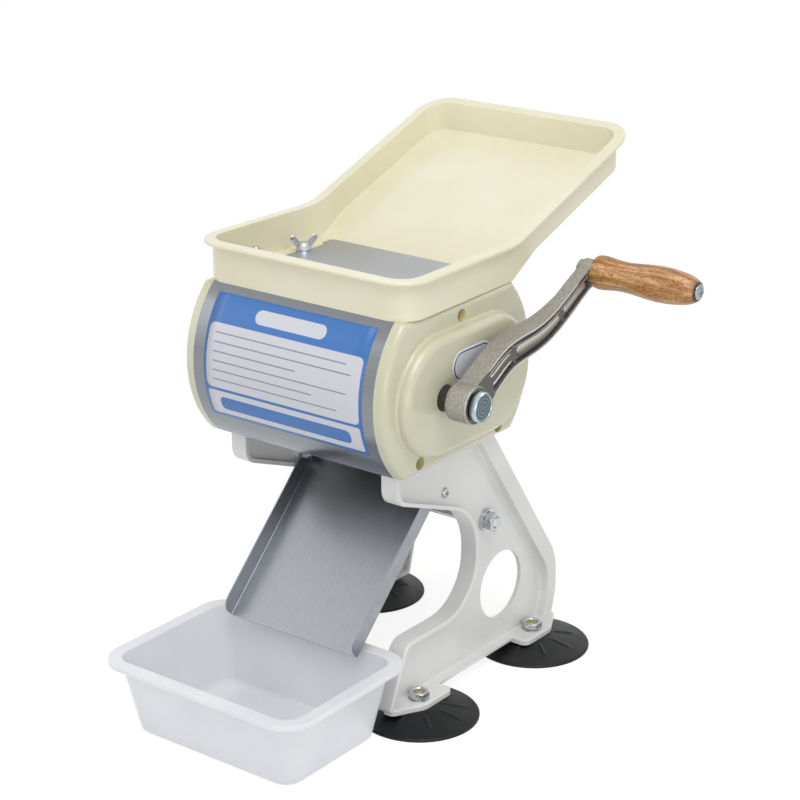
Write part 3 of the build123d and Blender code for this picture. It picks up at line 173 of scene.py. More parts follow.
def vector_math(tree, operation, first, second=(0.0, 0.0, 0.0), result="Vector"):
    """Result of an operation on one or two vectors."""
    return add_node(tree, "ShaderNodeVectorMath", {0: first, 1: second},
                    operation=operation).outputs[result]


def ramp_between(tree, value, low, high, start=0.0, end=1.0):
    """Value turned from the span low..high into start..end, and held beyond it."""
    return add_node(tree, "ShaderNodeMapRange", {
        "Value": value, "From Min": low, "From Max": high, "To Min": start,
        "To Max": end}).outputs["Result"]


def step_mm(tree, value, low, high):
    """0 below one place and 1 above the next, both in mm, for a value in metres."""
    return ramp_between(tree, value, low * MM, high * MM)


def blended(tree, factor, first, second, blend_type="MIX"):
    """Colour between two colours or colour sockets."""
    return add_node(tree, "ShaderNodeMix", {"Factor": factor, "A": first, "B": second},
                    data_type="RGBA", blend_type=blend_type).outputs["Result"]


def grain_noise(tree, size_mm, detail=2.0, roughness=0.5):
    """Noise on Object coordinates, of one grain size or of sizes along X, Y and Z."""
    scale = [1 / (size * MM) for size in np.broadcast_to(size_mm, 3)]
    mapping = add_node(tree, "ShaderNodeMapping",
                       {"Vector": object_point(tree), "Scale": scale})
    return add_node(tree, "ShaderNodeTexNoise", {
        "Vector": mapping.outputs["Vector"], "Scale": 1.0, "Detail": detail,
        "Roughness": roughness}).outputs["Fac"]


def coloured_across(tree, shader, stops):
    """Base colour from a ramp across the piece's own map."""
    tree.links.new(add_ramp(tree, part_of(tree, map_point(tree), "X"), stops),
                   shader.inputs["Base Color"])


def noise_colour(tree, noise, dark, light):
    """Colour that wanders between two colours."""
    return add_ramp(tree, noise, [(NOISE_LOW, linear(dark)), (NOISE_HIGH, linear(light))])


def roughened(tree, shader, noise, least, most):
    """Roughness that wanders between two values."""
    tree.links.new(ramp_between(tree, noise, NOISE_LOW, NOISE_HIGH, least, most),
                   shader.inputs["Roughness"])


def axis_distance(tree, y, z):
    """Distance in metres from the line along X through (y, z), which is given in mm."""
    shifted = vector_math(tree, "SUBTRACT", object_point(tree), (0.0, y * MM, z * MM))
    flat = vector_math(tree, "MULTIPLY", shifted, (0.0, 1.0, 1.0))
    return vector_math(tree, "LENGTH", flat, result="Value")


def face_mask(tree, low=0.75, high=0.97):
    """1 where a surface looks along +X and 0 on its sides, and the place along X in metres."""
    normal = add_node(tree, "ShaderNodeNewGeometry").outputs["Normal"]
    return (ramp_between(tree, part_of(tree, normal, "X"), low, high),
            part_of(tree, object_point(tree), "X"))


# Materials
def grained(name, tint, rough=None, relief=None, detail=2.0, fineness=0.5, **sockets):
    """A material that varies in grains, whose size in mm comes first in each row.

    tint is (grain, dark, light) of its colour, rough is (grain, least, most) of its
    roughness, and relief is (grain, depth in mm) of its bump.
    """
    tree, shader = new_material(name, **sockets)
    colour = noise_colour(tree, grain_noise(tree, tint[0], detail, fineness), *tint[1:])
    tree.links.new(colour, shader.inputs["Base Color"])
    if rough:
        roughened(tree, shader, grain_noise(tree, rough[0], detail, fineness), *rough[1:])
    if relief:
        add_relief(tree, shader, grain_noise(tree, relief[0], detail, fineness), relief[1])


def make_grained_materials():
    """Makes the materials that only vary in grains."""
    # Stoving enamel on cast metal: glossy, with the slight orange peel of sprayed paint
    grained("white stoving enamel", (60, "#DCDCDB", "#E5E5E3"), relief=(2.5, 0.05),
            Roughness=0.3, Coat_Weight=0.25, Coat_Roughness=0.15)
    # Zinc-plated steel: bright but slightly cloudy metal with a cool cast
    grained(ZINC, (4, "#BABEBF", "#D2D5D6"), (2, 0.2, 0.3), Metallic=1.0)
    # Yellow-passivated zinc: brassy green-gold metal
    grained(YELLOW_ZINC, (2, "#99965C", "#BDBA88"), (0.8, 0.25, 0.4), Metallic=1.0)
    # Ground blade steel: smooth, bright and a little darker than the sheet
    grained(BLADE_STEEL, ((6, 1.5, 1.5), "#9A9B9E", "#B4B5B8"), (1, 0.2, 0.3), Metallic=1.0)
    # Machined aluminium: pale satin metal
    grained("machined aluminium", ((12, 0.6, 0.6), "#A9AAAD", "#C2C3C6"),
            ((4, 0.5, 0.5), 0.32, 0.45), Metallic=1.0)
    # Sintered bronze: brown-gold and slightly porous
    grained("sintered bronze", (0.5, "#8F6C38", "#B8924F"), (0.5, 0.35, 0.5), detail=3.0,
            Metallic=1.0)
    # Moulded black rubber: dark, with a dull sheen and a faint bloom
    grained(RUBBER, (14, "#0B0D10", "#131518"), (14, 0.36, 0.5), detail=3.0, IOR=1.52,
            Specular_IOR_Level=0.3)
    # Natural polypropylene: milky, bluish white and waxy, and light comes through it
    grained("natural polypropylene", (50, "#E3E4E8", "#EAEBEF"), relief=(1.5, 0.02),
            Roughness=0.3, IOR=1.49, Subsurface_Weight=1.0,
            Subsurface_Radius=(0.045, 0.045, 0.047))
    # Moulded nylon and acetal: matt plastic
    for name, dark, light in (("white acetal", "#E0E0DC", "#EAEAE6"),
                              ("black nylon", "#1C1B1A", "#262523")):
        grained(name, (20, dark, light), Roughness=0.5, IOR=1.53)
    # Moulded ABS: cream plastic with a soft sheen, very slightly uneven in colour
    for name, dark, light in ((COVER_ABS, "#C9C8AD", "#D1D0B7"),
                              ("cream ABS of the tray", "#E4DFC2", "#EBE6CD")):
        grained(name, (70, dark, light), relief=(1.2, 0.02), Roughness=0.28, IOR=1.54,
                Coat_Weight=0.4, Coat_Roughness=0.06, Subsurface_Weight=0.2,
                Subsurface_Radius=(0.006, 0.005, 0.0025))
    # Brushed stainless sheet: grey metal whose fine streaks follow the brushing. The real
    # scratches are about 0.05 mm wide and are drawn wider, so that they show.
    for name, streak, dark, light, least, most in (
            ("brushed stainless wrap", (40, 0.5, 0.5), "#84888D", "#8B8F94", 0.18, 0.24),
            ("brushed stainless chute", (0.7, 9, 9), "#979A9F", "#A4A7AC", 0.3, 0.38),
            ("brushed stainless feed plate", (0.7, 14, 14), "#ADB1BD", "#B9BDC9", 0.3, 0.4)):
        grained(name, (streak, dark, light), (streak, least, most), (streak, 0.015),
                detail=3.0, fineness=0.6, Metallic=1.0)


def sand_cast_aluminium():
    """Sand-cast aluminium: gritty sides, and a face ground bright above dark channels."""
    tree, shader = new_material("sand-cast aluminium", Metallic=0.9)
    face_x = ARM_TOP_X - ARM_FACE_DROP
    grit = grain_noise(tree, 1.1, detail=4.0, roughness=0.7)
    skin = noise_colour(tree, grit, "#8B8883", "#CAC7C1")
    # Painted shade: the channels' floor is painted dark grey
    channel = noise_colour(tree, grain_noise(tree, (5, 9, 2.5)), "#39393B", "#59595B")
    face, along = face_mask(tree)
    # From the channels' floor up to the spine, both with painted shade, then to the border, which
    # is dark at the hub
    raised = step_mm(tree, along, face_x - 3.2, face_x - 1.5)
    edge = step_mm(tree, along, face_x - 0.6, face_x - 0.2)
    root = step_mm(tree, axis_distance(tree, SHAFT_Y, SHAFT_Z), 23, 27)
    spine = blended(tree, raised, channel, linear("#5E5B58"))
    border = blended(tree, root, linear("#5F5D5C"), linear("#C6C6C8"))
    ground = blended(tree, edge, spine, border)
    tree.links.new(blended(tree, face, skin, ground), shader.inputs["Base Color"])
    tree.links.new(ramp_between(tree, face, 0.0, 1.0, 0.5, 0.26), shader.inputs["Roughness"])
    add_relief(tree, shader, grit, 0.2, ramp_between(tree, face, 0.0, 1.0, 1.0, 0.25))


def bead_with_painted_light():
    """Cast aluminium bead: worn bright along its upper side and dark in the lee below."""
    name = "worn cast aluminium"
    tree, shader = new_material(name, Metallic=0.9, Roughness=0.3)
    # Painted light across the bead: shade on its lower side, a highlight near its upper edge
    across = (("#454344", 0.0), ("#57544F", 0.22), ("#8C877D", 0.5), ("#B9B4A8", 0.72),
              ("#D5D2C9", 0.9), ("#6B6863", 1.0))
    coloured_across(tree, shader, [(place, linear(code)) for code, place in across])
    add_relief(tree, shader, grain_noise(tree, 1.1, detail=4.0), 0.06)
    return name


def paint_light_in_recesses(material, places):
    """Warm shade of a cream moulding inside its deep screw recesses, at (y, z) places."""
    tree = material.node_tree
    colour = tree.nodes["Principled BSDF"].inputs["Base Color"]
    nearest = axis_distance(tree, *places[0])
    for place in places[1:]:
        nearest = number_math(tree, "MINIMUM", nearest, axis_distance(tree, *place))
    # Painted light: inside each recess the cream turns a paler warm colour
    inside = ramp_between(tree, nearest, COVER_RECESS_RADIUS * MM,
                          (COVER_RECESS_RADIUS + 0.1) * MM, 1.0, 0.0)
    tree.links.new(blended(tree, inside, colour.links[0].from_socket, linear("#DCD3A4")),
                   colour)


def oiled_beech():
    """Oiled beech: warm bands and short dark flecks along the grain, stained at the screw."""
    tree, shader = new_material("oiled beech", Roughness=0.4, IOR=1.5, Coat_Weight=0.2,
                                Coat_Roughness=0.25)
    bands = grain_noise(tree, (60, 3.5, 3.5), detail=3.0)
    flecks = grain_noise(tree, (3.4, 0.5, 0.5), roughness=0.6)
    band = add_ramp(tree, bands, [(0.32, linear("#9A6232")), (0.5, linear("#BD8750")),
                                  (0.68, linear("#DFB483"))])
    fleck = add_ramp(tree, flecks, [(0.38, linear("#70411E")), (0.5, (1.0, 1.0, 1.0, 1.0))])
    wood = blended(tree, 0.72, band, fleck, "MULTIPLY")
    # Painted shade: the wood turns dark brown at its end round the screw
    end_shade = step_mm(tree, part_of(tree, object_point(tree), "X"), GRIP_END_X - 1.6,
                    GRIP_END_X - 0.4)
    tree.links.new(blended(tree, end_shade, wood, linear("#4A2C18")), shader.inputs["Base Color"])
    add_relief(tree, shader, flecks, 0.08)


def inside_box(tree, point, centre, half, radius, feather=0.15):
    """1 inside a rounded rectangle on the piece's own map and 0 outside, in millimetres.

    Distance of a point: the length of max(|p - centre| - half + radius, 0), less radius.
    """
    shifted = vector_math(tree, "SUBTRACT", point, (*centre, 0.0))
    folded = vector_math(tree, "ABSOLUTE", shifted)
    inner = vector_math(tree, "SUBTRACT", folded, (half[0] - radius, half[1] - radius, 0.0))
    outside = vector_math(tree, "MAXIMUM", inner)
    length = vector_math(tree, "LENGTH", outside, result="Value")
    return ramp_between(tree, length, radius - feather, radius + feather, 1.0, 0.0)


def printed_film(half_width, half_height, blue, pale, grey):
    """Printed plastic film: a blue frame and header round a pale ruled field, satin surface."""
    name = "printed label film"
    tree, shader = new_material(name, Roughness=0.4, Coat_Weight=0.3, Coat_Roughness=0.15)
    point = add_node(tree, "ShaderNodeVectorMath", {0: map_point(tree), "Scale": 1 / MM},
                     operation="SCALE").outputs["Vector"]
    border, header, footer, gap = 2.4, 19.0, 19.5, 2.2
    wide, top, bottom = half_width - border, half_height - border, border - half_height
    field_low, field_high = bottom + footer + gap, top - header
    footer_middle = (0.0, bottom + footer / 2)
    # Shade, middle, half sizes and corner radius, from the back to the front
    layers = [
        (pale, (0.0, (field_low + field_high) / 2), (wide, (field_high - field_low) / 2), 4.0),
        (pale, footer_middle, (wide, footer / 2), 2.0),
        (pale, (0.0, top - header / 2 + 0.5), (wide * 0.46, header * 0.27), 5.0),
        (blue, footer_middle, (wide * 0.86, footer * 0.27), 4.0),
    ]
    # Rules as shares of the half width, with their left ends in one line
    rule_shares, margin_share, rule_half, rule_radius = (
        (0.86, 0.9, 0.55, 0.88, 0.66, 0.82), 0.92, 0.45, 0.4)
    rule_gap = (field_high - field_low) / (len(rule_shares) + 1)
    for row, share in enumerate(rule_shares, 1):
        middle = (-wide * (margin_share - share), field_high - row * rule_gap)
        layers.append((grey, middle, (wide * share, rule_half), rule_radius))
    colour = blue
    for shade, centre, half, radius in layers:
        colour = blended(tree, inside_box(tree, point, centre, half, radius), colour, shade)
    tree.links.new(colour, shader.inputs["Base Color"])
    return name


def badge_film(pale, dark):
    """Domed badge: pale film under clear resin, with a dark line just inside its edge."""
    name = "domed resin badge"
    tree, shader = new_material(name, Roughness=0.18, Coat_Weight=0.6, Coat_Roughness=0.05)
    coloured_across(tree, shader, [(0.0, pale), (0.105, pale), (0.115, dark), (0.185, dark),
                                   (0.195, pale), (1.0, pale)])
    return name


def turned_zinc(head_x):
    """Turned and zinc-plated: a dark face with tool rings, a bright rim and an oily neck."""
    name = "turned zinc-plated steel"
    tree, shader = new_material(name, Metallic=1.0)
    half_pitch = 1.25
    rings = number_math(tree, "PINGPONG", axis_distance(tree, SHAFT_Y, SHAFT_Z),
                        half_pitch * MM)
    height = step_mm(tree, rings, 0.0, half_pitch)
    dark = add_ramp(tree, height, [(0.2, linear("#515E66")), (0.8, linear("#75838B"))])
    face, along = face_mask(tree, 0.9, 0.99)
    plain = blended(tree, face, linear("#C3CDD2"), dark)
    # Painted shade: below the head's inner face the neck is painted near black
    head = step_mm(tree, along, head_x - 0.1, head_x + 0.1)
    tree.links.new(blended(tree, head, linear("#1C1D1F"), plain), shader.inputs["Base Color"])
    roughened(tree, shader, grain_noise(tree, 0.7), 0.2, 0.32)
    add_relief(tree, shader, height, 0.05)
    return name


# CAD nodes by finish
FINISHES = {
    "white stoving enamel": ("right_leg", "left_leg"),
    ZINC: ("leg_bolts", "tie_rod", "tie_sleeve", "tie_rod_washers", "tie_rod_nuts",
           "comb_screws", "chute_screws", "chute_washers", "chute_nuts", "tray_studs",
           "tray_nuts", "cup_studs", "cup_washers", "cup_nuts", "crank_shaft_ring",
           "crank_screw", "handle_spindle", "handle_nut", "rear_shaft_ring", "gear_screw",
           "right_wing_nut", "left_wing_nut"),
    YELLOW_ZINC: ("cover_screws",),
    "brushed stainless wrap": ("front_shell", "rear_shell"),
    "brushed stainless feed plate": ("feed_plate",),
    "brushed stainless chute": ("chute",),
    BLADE_STEEL: ("crank_shaft", "rear_shaft", "front_blades", "rear_blades", "drive_gear",
                  "driven_gear"),
    "sand-cast aluminium": ("crank_arm",),
    "machined aluminium": ("right_end_plate", "left_end_plate", "front_spacers",
                           "rear_spacers"),
    COVER_ABS: ("right_cover", "left_cover"),
    "cream ABS of the tray": ("tray",),
    "natural polypropylene": ("catch_bin",),
    RUBBER: ("front_left_cup", "rear_left_cup", "front_right_cup", "rear_right_cup"),
    "black nylon": ("hub_collar",),
    "white acetal": ("front_comb", "rear_comb"),
    "sintered bronze": ("shaft_bushes",),
    "oiled beech": ("wooden_grip",),
}


# Meshes from grids
def placed(name, data):
    """A new object in the scene."""
    thing = bpy.data.objects.new(name, data)
    bpy.context.scene.collection.objects.link(thing)
    return thing


def surface(name, points, finish, body, flat_map=None, sharp_deg=35.0, closed=True):
    """Mesh over a grid of points in millimetres: neighbours in the grid become quads.

    In a closed piece each row runs round to its start, rows that are a point or the same
    as another are merged, and the faces are turned outwards.
    """
    rows, columns = points.shape[:2]
    index = np.arange(rows * columns).reshape(rows, columns)
    if closed:
        index = np.hstack([index, index[:, :1]])
    quads = np.stack([index[:-1, :-1], index[1:, :-1], index[1:, 1:], index[:-1, 1:]], -1)
    mesh = bpy.data.meshes.new(name)
    mesh.from_pydata((points.reshape(-1, 3) * MM).tolist(), [], quads.reshape(-1, 4).tolist())
    if flat_map is not None:
        layer = mesh.uv_layers.new(name=OWN_MAP)
        corners = np.zeros(len(mesh.loops), np.int32)
        mesh.loops.foreach_get("vertex_index", corners)
        layer.data.foreach_set("uv", flat_map.reshape(-1, 2)[corners].ravel())
    work = bmesh.new()
    work.from_mesh(mesh)
    bmesh.ops.remove_doubles(work, verts=work.verts, dist=1e-6)
    bmesh.ops.dissolve_degenerate(work, dist=1e-7, edges=work.edges)
    if closed:
        bmesh.ops.recalc_face_normals(work, faces=work.faces)
    work.to_mesh(mesh)
    work.free()
    mesh.shade_smooth()
    mesh.set_sharp_from_angle(angle=math.radians(sharp_deg))
    mesh.materials.append(bpy.data.materials[finish])
    piece = placed(name, mesh)
    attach(piece, body)
    return piece


def joined(name, pieces):
    """Several like pieces of one body as one mesh."""
    keep = pieces[0]
    if pieces[1:]:
        work = bmesh.new()
        for piece in pieces:
            work.from_mesh(piece.data)
        work.to_mesh(keep.data)
        work.free()
    for piece in pieces[1:]:
        spare = piece.data
        bpy.data.objects.remove(piece)
        bpy.data.meshes.remove(spare)
    keep.name = keep.data.name = name
    return keep


def along_x(local, origin, side=1):
    """Points made about +Z, laid along +X (side 1) or -X (side -1) from an origin."""
    return np.stack([side * local[..., 2], local[..., 0], local[..., 1]], -1) + np.array(origin)


def along_z(local, origin):
    """Points made about +Z, standing at an origin."""
    return local + np.array(origin)


def full_turn(segments):
    """Angles round one full turn, without its end."""
    return np.arange(segments) * 2 * np.pi / segments


def ringed(radius, turn, height):
    """Points round +Z at radii, angles and heights: x = r cos t, y = r sin t, z = h."""
    radius, turn, height = np.broadcast_arrays(radius, turn, height)
    return np.stack([radius * np.cos(turn), radius * np.sin(turn), height], -1)


def turned(profile, segments, ripple=None):
    """Lathe form: profile points (radius, height) swept round the axis.

    ripple(radii, angles), if given, changes the radii on the way round.
    """
    profile, turn = np.array(profile, float), full_turn(segments)
    radius = profile[:, :1] * np.ones(segments)
    if ripple is not None:
        radius = ripple(radius, turn)
    return ringed(radius, turn, profile[:, 1:])


def screw_head(radius, height, shank, length, dome=3.2, segments=96, rings=40):
    """Pan head about +Z with a cross recess, on a plain shank that reaches down.

    The head is a superellipse, z = h (1 - (r / R) ^ dome) ^ (1 / 2.2), pressed in by
    depth * ramp(half width - least(|x|, |y|)) * ramp(reach - most(|x|, |y|)), where each ramp
    climbs from 0 to 1 over a quarter of a millimetre.
    """
    half_width, reach, depth, slope = 0.19 * radius, 0.6 * radius, 0.6 * height, 0.25
    share = np.sin(np.linspace(np.pi / 2, 0, rings))[:, None]
    level = height * np.maximum(1 - share ** dome, 0) ** (1 / 2.2)
    head = ringed(radius * share, full_turn(segments), level)
    sides = np.abs(head[..., :2])
    head[..., 2] -= depth * (np.clip((half_width - sides.min(-1)) / slope, 0, 1)
                             * np.clip((reach - sides.max(-1)) / slope, 0, 1))
    return np.concatenate([turned([(0, -length), (shank, -length), (shank, 0)], segments), head])


def nut_wing(reach, rise, half_width, half_thick, rows=28, segments=32):
    """One wing of a wing nut: an oval section along a line that leans outwards.

    The middle line runs from the hub to the tip. A section is a superellipse of power 2.6,
    and over the last quarter its size follows sqrt(1 - u ^ 2), which closes the tip.
    """
    along = np.sin(np.linspace(0, np.pi / 2, rows))
    line = np.stack([reach * (0.2 + 0.8 * along), rise * (0.12 + 0.86 * along)], -1)
    lean = np.array([0.8 * reach, 0.86 * rise])
    lean = lean / np.hypot(*lean)
    close = np.clip((along - 0.76) / 0.24, 0, 1)
    size = np.sqrt(np.maximum(1 - close ** 2, 0))[:, None]
    turn = full_turn(segments)
    across, thick = (np.sign(wave) * np.abs(wave) ** (2 / 2.6)
                     for wave in (np.cos(turn), np.sin(turn)))
    x = line[:, :1] - lean[1] * half_width * size * across
    z = line[:, 1:] + lean[0] * half_width * size * across
    grid = np.stack([x, half_thick * size * thick, z], -1)
    start = np.broadcast_to([line[0, 0], 0.0, line[0, 1]], (1, segments, 3))
    return np.concatenate([start, grid])


def turned_about_z(points, degrees):
    """Points turned about the Z axis."""
    angle = math.radians(degrees)
    x = points[..., 0] * math.cos(angle) - points[..., 1] * math.sin(angle)
    y = points[..., 0] * math.sin(angle) + points[..., 1] * math.cos(angle)
    return np.stack([x, y, points[..., 2]], -1)


def creased_cup(radius, height, count, rise, seed, segments=240):
    """Suction cup about +Z: a sloping crown with radial creases over a hollow underside.

    Crease k adds rise * exp(-(r * (t - t_k) / 1.1 mm) ^ 2) between its own inner and outer
    radius, with both ends faded over 4 mm, and the directions t_k are unevenly spaced.
    """
    seat, lip, wall, ring, crease, fading = 14.0, 1.9, 2.4, 3.0, 1.1, 4
    crown, turn = np.linspace(seat, radius - 0.8, 46)[:, None], full_turn(segments)
    slope = height + (lip - height) * ((crown - seat) / (radius - seat))
    rng = np.random.default_rng(seed)
    relief = np.zeros((len(crown), segments))
    for index in range(count):
        middle = 2 * np.pi * (index + rng.uniform(-0.22, 0.22)) / count
        inner, outer = rng.uniform(14, 16), rng.uniform(31, 37)
        apart = np.abs(np.mod(turn - middle + np.pi, 2 * np.pi) - np.pi)
        fade = (np.clip((crown - inner) / fading, 0, 1)
                * np.clip((outer - crown) / fading, 0, 1))
        relief += fade * np.exp(-(crown * apart / crease) ** 2)
    under = [(radius - 0.2, lip - 0.5), (radius, 0.9), (radius, 0.15), (radius - 0.2, 0),
             (radius - ring, 0), (seat, height - wall), (0, height - wall)]
    return np.concatenate([turned([(0, height), (seat - 0.6, height)], segments),
                           ringed(crown, turn, slope + rise * relief),
                           turned(under, segments)])


def hex_nut(flats, bore, height, facet_steps=6):
    """Hexagon nut as one ring surface about +Z, with a flat on +X.

    Round the axis the outer radius is a / cos(t') with t' folded into one sixth turn, and near
    each face it is held under a cone of 30 degrees, which cuts the chamfer arcs. The bore's
    mouths are countersunk at 45 degrees.
    """
    apothem, sink = flats / 2, 0.16 * bore
    turn = full_turn(6 * facet_steps)
    folded = np.mod(turn + np.pi / 6, np.pi / 3) - np.pi / 6
    depths = np.array([0.0, 0.03, 0.06, 0.09, 0.12]) * apothem
    limit = apothem * 0.955 + depths * math.tan(math.radians(60))
    lower = np.minimum(apothem / np.cos(folded), limit[:, None])
    inner, mouth = np.full(len(turn), bore), np.full(len(turn), bore + sink)
    radius = np.array([inner, mouth, *lower, *lower[::-1], mouth, inner, inner])
    level = np.array([sink, 0.0, *depths, *(height - depths[::-1]), height, height - sink,
                      sink])
    return ringed(radius, turn, level[:, None])


def threaded_stud(radius, pitch, low, high, depth_share=0.55, segments=28, steps=6):
    """Stud with a helical thread about +Z, closed by a chamfered end at each side.

    r = R - depth * |2 frac(z / pitch - t / 2 pi) - 1|, drawn in linearly to the core at the ends.
    """
    depth = depth_share * pitch
    count = max(int((high - low) / pitch * steps), 4)
    level, turn = np.linspace(low, high, count)[:, None], full_turn(segments)
    phase = np.mod(level / pitch - turn / (2 * np.pi), 1.0)
    edge = np.minimum(level - low, high - level)
    thread = np.minimum(radius - depth * np.abs(2 * phase - 1), radius - depth + edge)
    return np.concatenate([ringed(0.0, turn, [[low]]), ringed(thread, turn, level),
                           ringed(0.0, turn, [[high]])])


# Middle line of the crank arm, as shares of its reach and rise
ARM_PATH = ((0, 0), (0.163, 0.205), (0.288, 0.372), (0.42, 0.432), (0.56, 0.487), (0.70, 0.62),
            (0.84, 0.81), (1, 1))


def arm_middle(shares):
    """Points (y, z) on the arm's middle line at shares of its length, and unit directions.

    Between two knots of the path runs the cubic that meets both with slopes from central
    differences: p = h0 p0 + h1 p1 + g (k0 m0 + k1 m1) over a gap g.
    """
    knots = np.array([SHAFT_Y, SHAFT_Z]) + np.array(ARM_PATH) * np.array(
        [GRIP_Y - SHAFT_Y, GRIP_Z - SHAFT_Z])
    at = np.concatenate([[0.0], np.cumsum(np.hypot(*np.diff(knots, axis=0).T))])
    slope = np.gradient(knots, at, axis=0)
    place = np.asarray(shares) * at[-1]
    k = np.clip(np.searchsorted(at, place, side="right") - 1, 0, len(at) - 2)
    gap = (at[k + 1] - at[k])[:, None]
    u = (place - at[k])[:, None] / gap
    rise = 3 * u ** 2 - 2 * u ** 3
    point = ((1 - rise) * knots[k] + rise * knots[k + 1]
             + gap * ((u ** 3 - 2 * u ** 2 + u) * slope[k] + (u ** 3 - u ** 2) * slope[k + 1]))
    along = (6 * (u - u ** 2) * (knots[k + 1] - knots[k]) / gap
             + (3 * u ** 2 - 4 * u + 1) * slope[k] + (3 * u ** 2 - 2 * u) * slope[k + 1])
    return point, along / np.hypot(*along.T)[:, None]


def arm_bead(start, end, middle, half_width, base_x, rise, rows=56, steps=28,
             end_share=0.02):
    """Half-round bead along the arm between two shares of its length, and its map.

    Across, it is an ellipse: offset w cos t from the middle line and height rise * sin t, with
    half the height below its base. Both shrink as sqrt(1 - e ^ 2) over the last 2% of the
    arm at either end.
    """
    share = start + (end - start) * (1 - np.cos(np.linspace(0, np.pi, rows))) / 2
    point, along = arm_middle(share)
    outwards = np.stack([-along[:, 1], along[:, 0]], -1)
    near_end = np.minimum(share - start, end - share)
    size = np.sqrt(np.maximum(1 - np.clip(1 - near_end / end_share, 0, 1) ** 2, 0))
    turn = full_turn(steps)
    offset = middle(share)[:, None] + (half_width(share) * size)[:, None] * np.cos(turn)
    height = rise * np.where(np.sin(turn) > 0, np.sin(turn), 0.5 * np.sin(turn))
    yz = point[:, None, :] + offset[..., None] * outwards[:, None, :]
    x = base_x + size[:, None] * height
    flat_map = np.stack([(np.cos(turn) + 1) / 2 * np.ones((rows, 1)),
                         share[:, None] * np.ones(steps)], -1)
    return np.concatenate([x[..., None], yz], -1), flat_map


# Settings
def real(name, description, default, unit="NONE", subtype="NONE"):
    """A number that the user may change."""
    return FloatProperty(name=name, description=description, default=default, unit=unit,
                         subtype=subtype)


class StageSettings(bpy.types.PropertyGroup):
    """Camera and studio."""
    azimuth: real("Azimuth", "Turn of the camera round the slicer", math.radians(37.42),
                  subtype="ANGLE")
    elevation: real("Elevation", "Height of the camera above the horizon",
                    math.radians(20.09), subtype="ANGLE")
    distance: real("Distance", "Camera to the middle of the slicer", 1.58353, "LENGTH")
    target_height: real("Target height", "Height that the camera looks at", 0.19, "LENGTH")
    lens: real("Lens", "Focal length in millimetres on a 36 mm sensor", 99.06)
    shift_x: real("Shift X", "Framing to the side", 0.00871)
    shift_y: real("Shift Y", "Framing upwards", 0.01255)
    key_power: real("Key power", "Power of the large lamp above", 9.6, "POWER")
    fill_power: real("Fill power", "Power of the lamp at the left", 4.0, "POWER")
    low_power: real("Low power", "Power of the low lamp at the right", 4.0, "POWER")
    sky_strength: real("Sky strength", "Even light from all round", 0.6)


class LabelSettings(bpy.types.PropertyGroup):
    """Label on the front sheet and badge on the cover."""
    half_width: real("Half width", "Half the label's width", 0.0688, "LENGTH")
    low_angle: real("Lower edge", "Direction of the lower edge from the bulge's centre",
                    math.radians(-28.0), subtype="ANGLE")
    high_angle: real("Upper edge", "Direction of the upper edge from the bulge's centre",
                     math.radians(40.9), subtype="ANGLE")
    blue: FloatVectorProperty(
        name="Blue", description="Frame and header", default=linear("#2E6DB4"), size=4,
        subtype="COLOR")
    pale: FloatVectorProperty(
        name="Field", description="Pale field", default=linear("#CACDD4"), size=4,
        subtype="COLOR")
    grey: FloatVectorProperty(
        name="Rules", description="Thin rules on the field", default=linear("#85868E"), size=4,
        subtype="COLOR")


class FastenerSettings(bpy.types.PropertyGroup):
    """Threads, knurl and grooves of the metal fittings."""
    stud_pitch: real("Cup stud pitch", "Thread of the suction cups' studs", 0.00125, "LENGTH")
    tie_pitch: real("Tie rod pitch", "Thread at the tie rod's ends", 0.00125, "LENGTH")
    small_pitch: real("Small pitch", "Thread of the tray's studs", 0.0009, "LENGTH")
    knurl_count: IntProperty(
        name="Knurl count", description="Ridges round the crank screw", default=54)
    knurl_depth: real("Knurl depth", "Depth of the ridges", 0.0006, "LENGTH")
    neck_radius: real("Neck radius", "Neck under the crank screw's head", 0.0088, "LENGTH")
    neck_width: real("Neck width", "Width of that neck", 0.0006, "LENGTH")
    stem_radius: real("Stem radius", "Stem of the crank screw", 0.004, "LENGTH")
    nut_base_height: real("Wing nut base", "Height of a wing nut's base", 0.005, "LENGTH")
    wing_degrees: real("Wing direction", "Degrees from +X to the wings", 54.0)


class RubberSettings(bpy.types.PropertyGroup):
    """Suction cups."""
    crease_count: IntProperty(
        name="Creases", description="Radial creases on each cup", default=8)
    crease_height: real("Crease height", "Rise of each crease", 0.0009, "LENGTH")


def settings(name):
    """One of this add-on's groups of settings."""
    return getattr(bpy.context.scene, name)


# Operators
class SlicerOperator(bpy.types.Operator):
    """Shared base of the operators below."""
    bl_options = {"REGISTER", "UNDO"}


def cover_screw_places():
    """The (y, z) places of the three cover screws, from the box round their heads."""
    low, high = box_mm("cover_screws")
    low_z = low[2] + COVER_SCREW_RADIUS
    return [((low[1] + high[1]) / 2, high[2] - COVER_SCREW_RADIUS),
            (low[1] + COVER_SCREW_RADIUS, low_z), (high[1] - COVER_SCREW_RADIUS, low_z)]


def stud_places(node, radius):
    """The (x, y) places of four upright studs, from the box round them."""
    low, high = box_mm(node)
    return [(x, y) for x in (low[0] + radius, high[0] - radius)
            for y in (low[1] + radius, high[1] - radius)]


def stand_in(node, name, forms, finish, body="frame", sharp_deg=35.0):
    """One piece from closed grids of points, which stands for a CAD node."""
    piece = joined(name, [surface(name, points, finish, body, sharp_deg=sharp_deg)
                          for points in forms])
    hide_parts(node)


class SLICER_OT_finishes(SlicerOperator):
    """Gives every CAD node the finish of its real material"""
    bl_idname = "slicer.finishes"
    bl_label = "Finishes"

    def execute(self, context):
        make_grained_materials()
        sand_cast_aluminium()
        oiled_beech()
        # Painted light inside the covers' screw recesses
        paint_light_in_recesses(bpy.data.materials[COVER_ABS], cover_screw_places())
        for finish, nodes in FINISHES.items():
            for node in nodes:
                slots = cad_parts[node].data.materials
                slots.clear()
                slots.append(bpy.data.materials[finish])
        return {"FINISHED"}


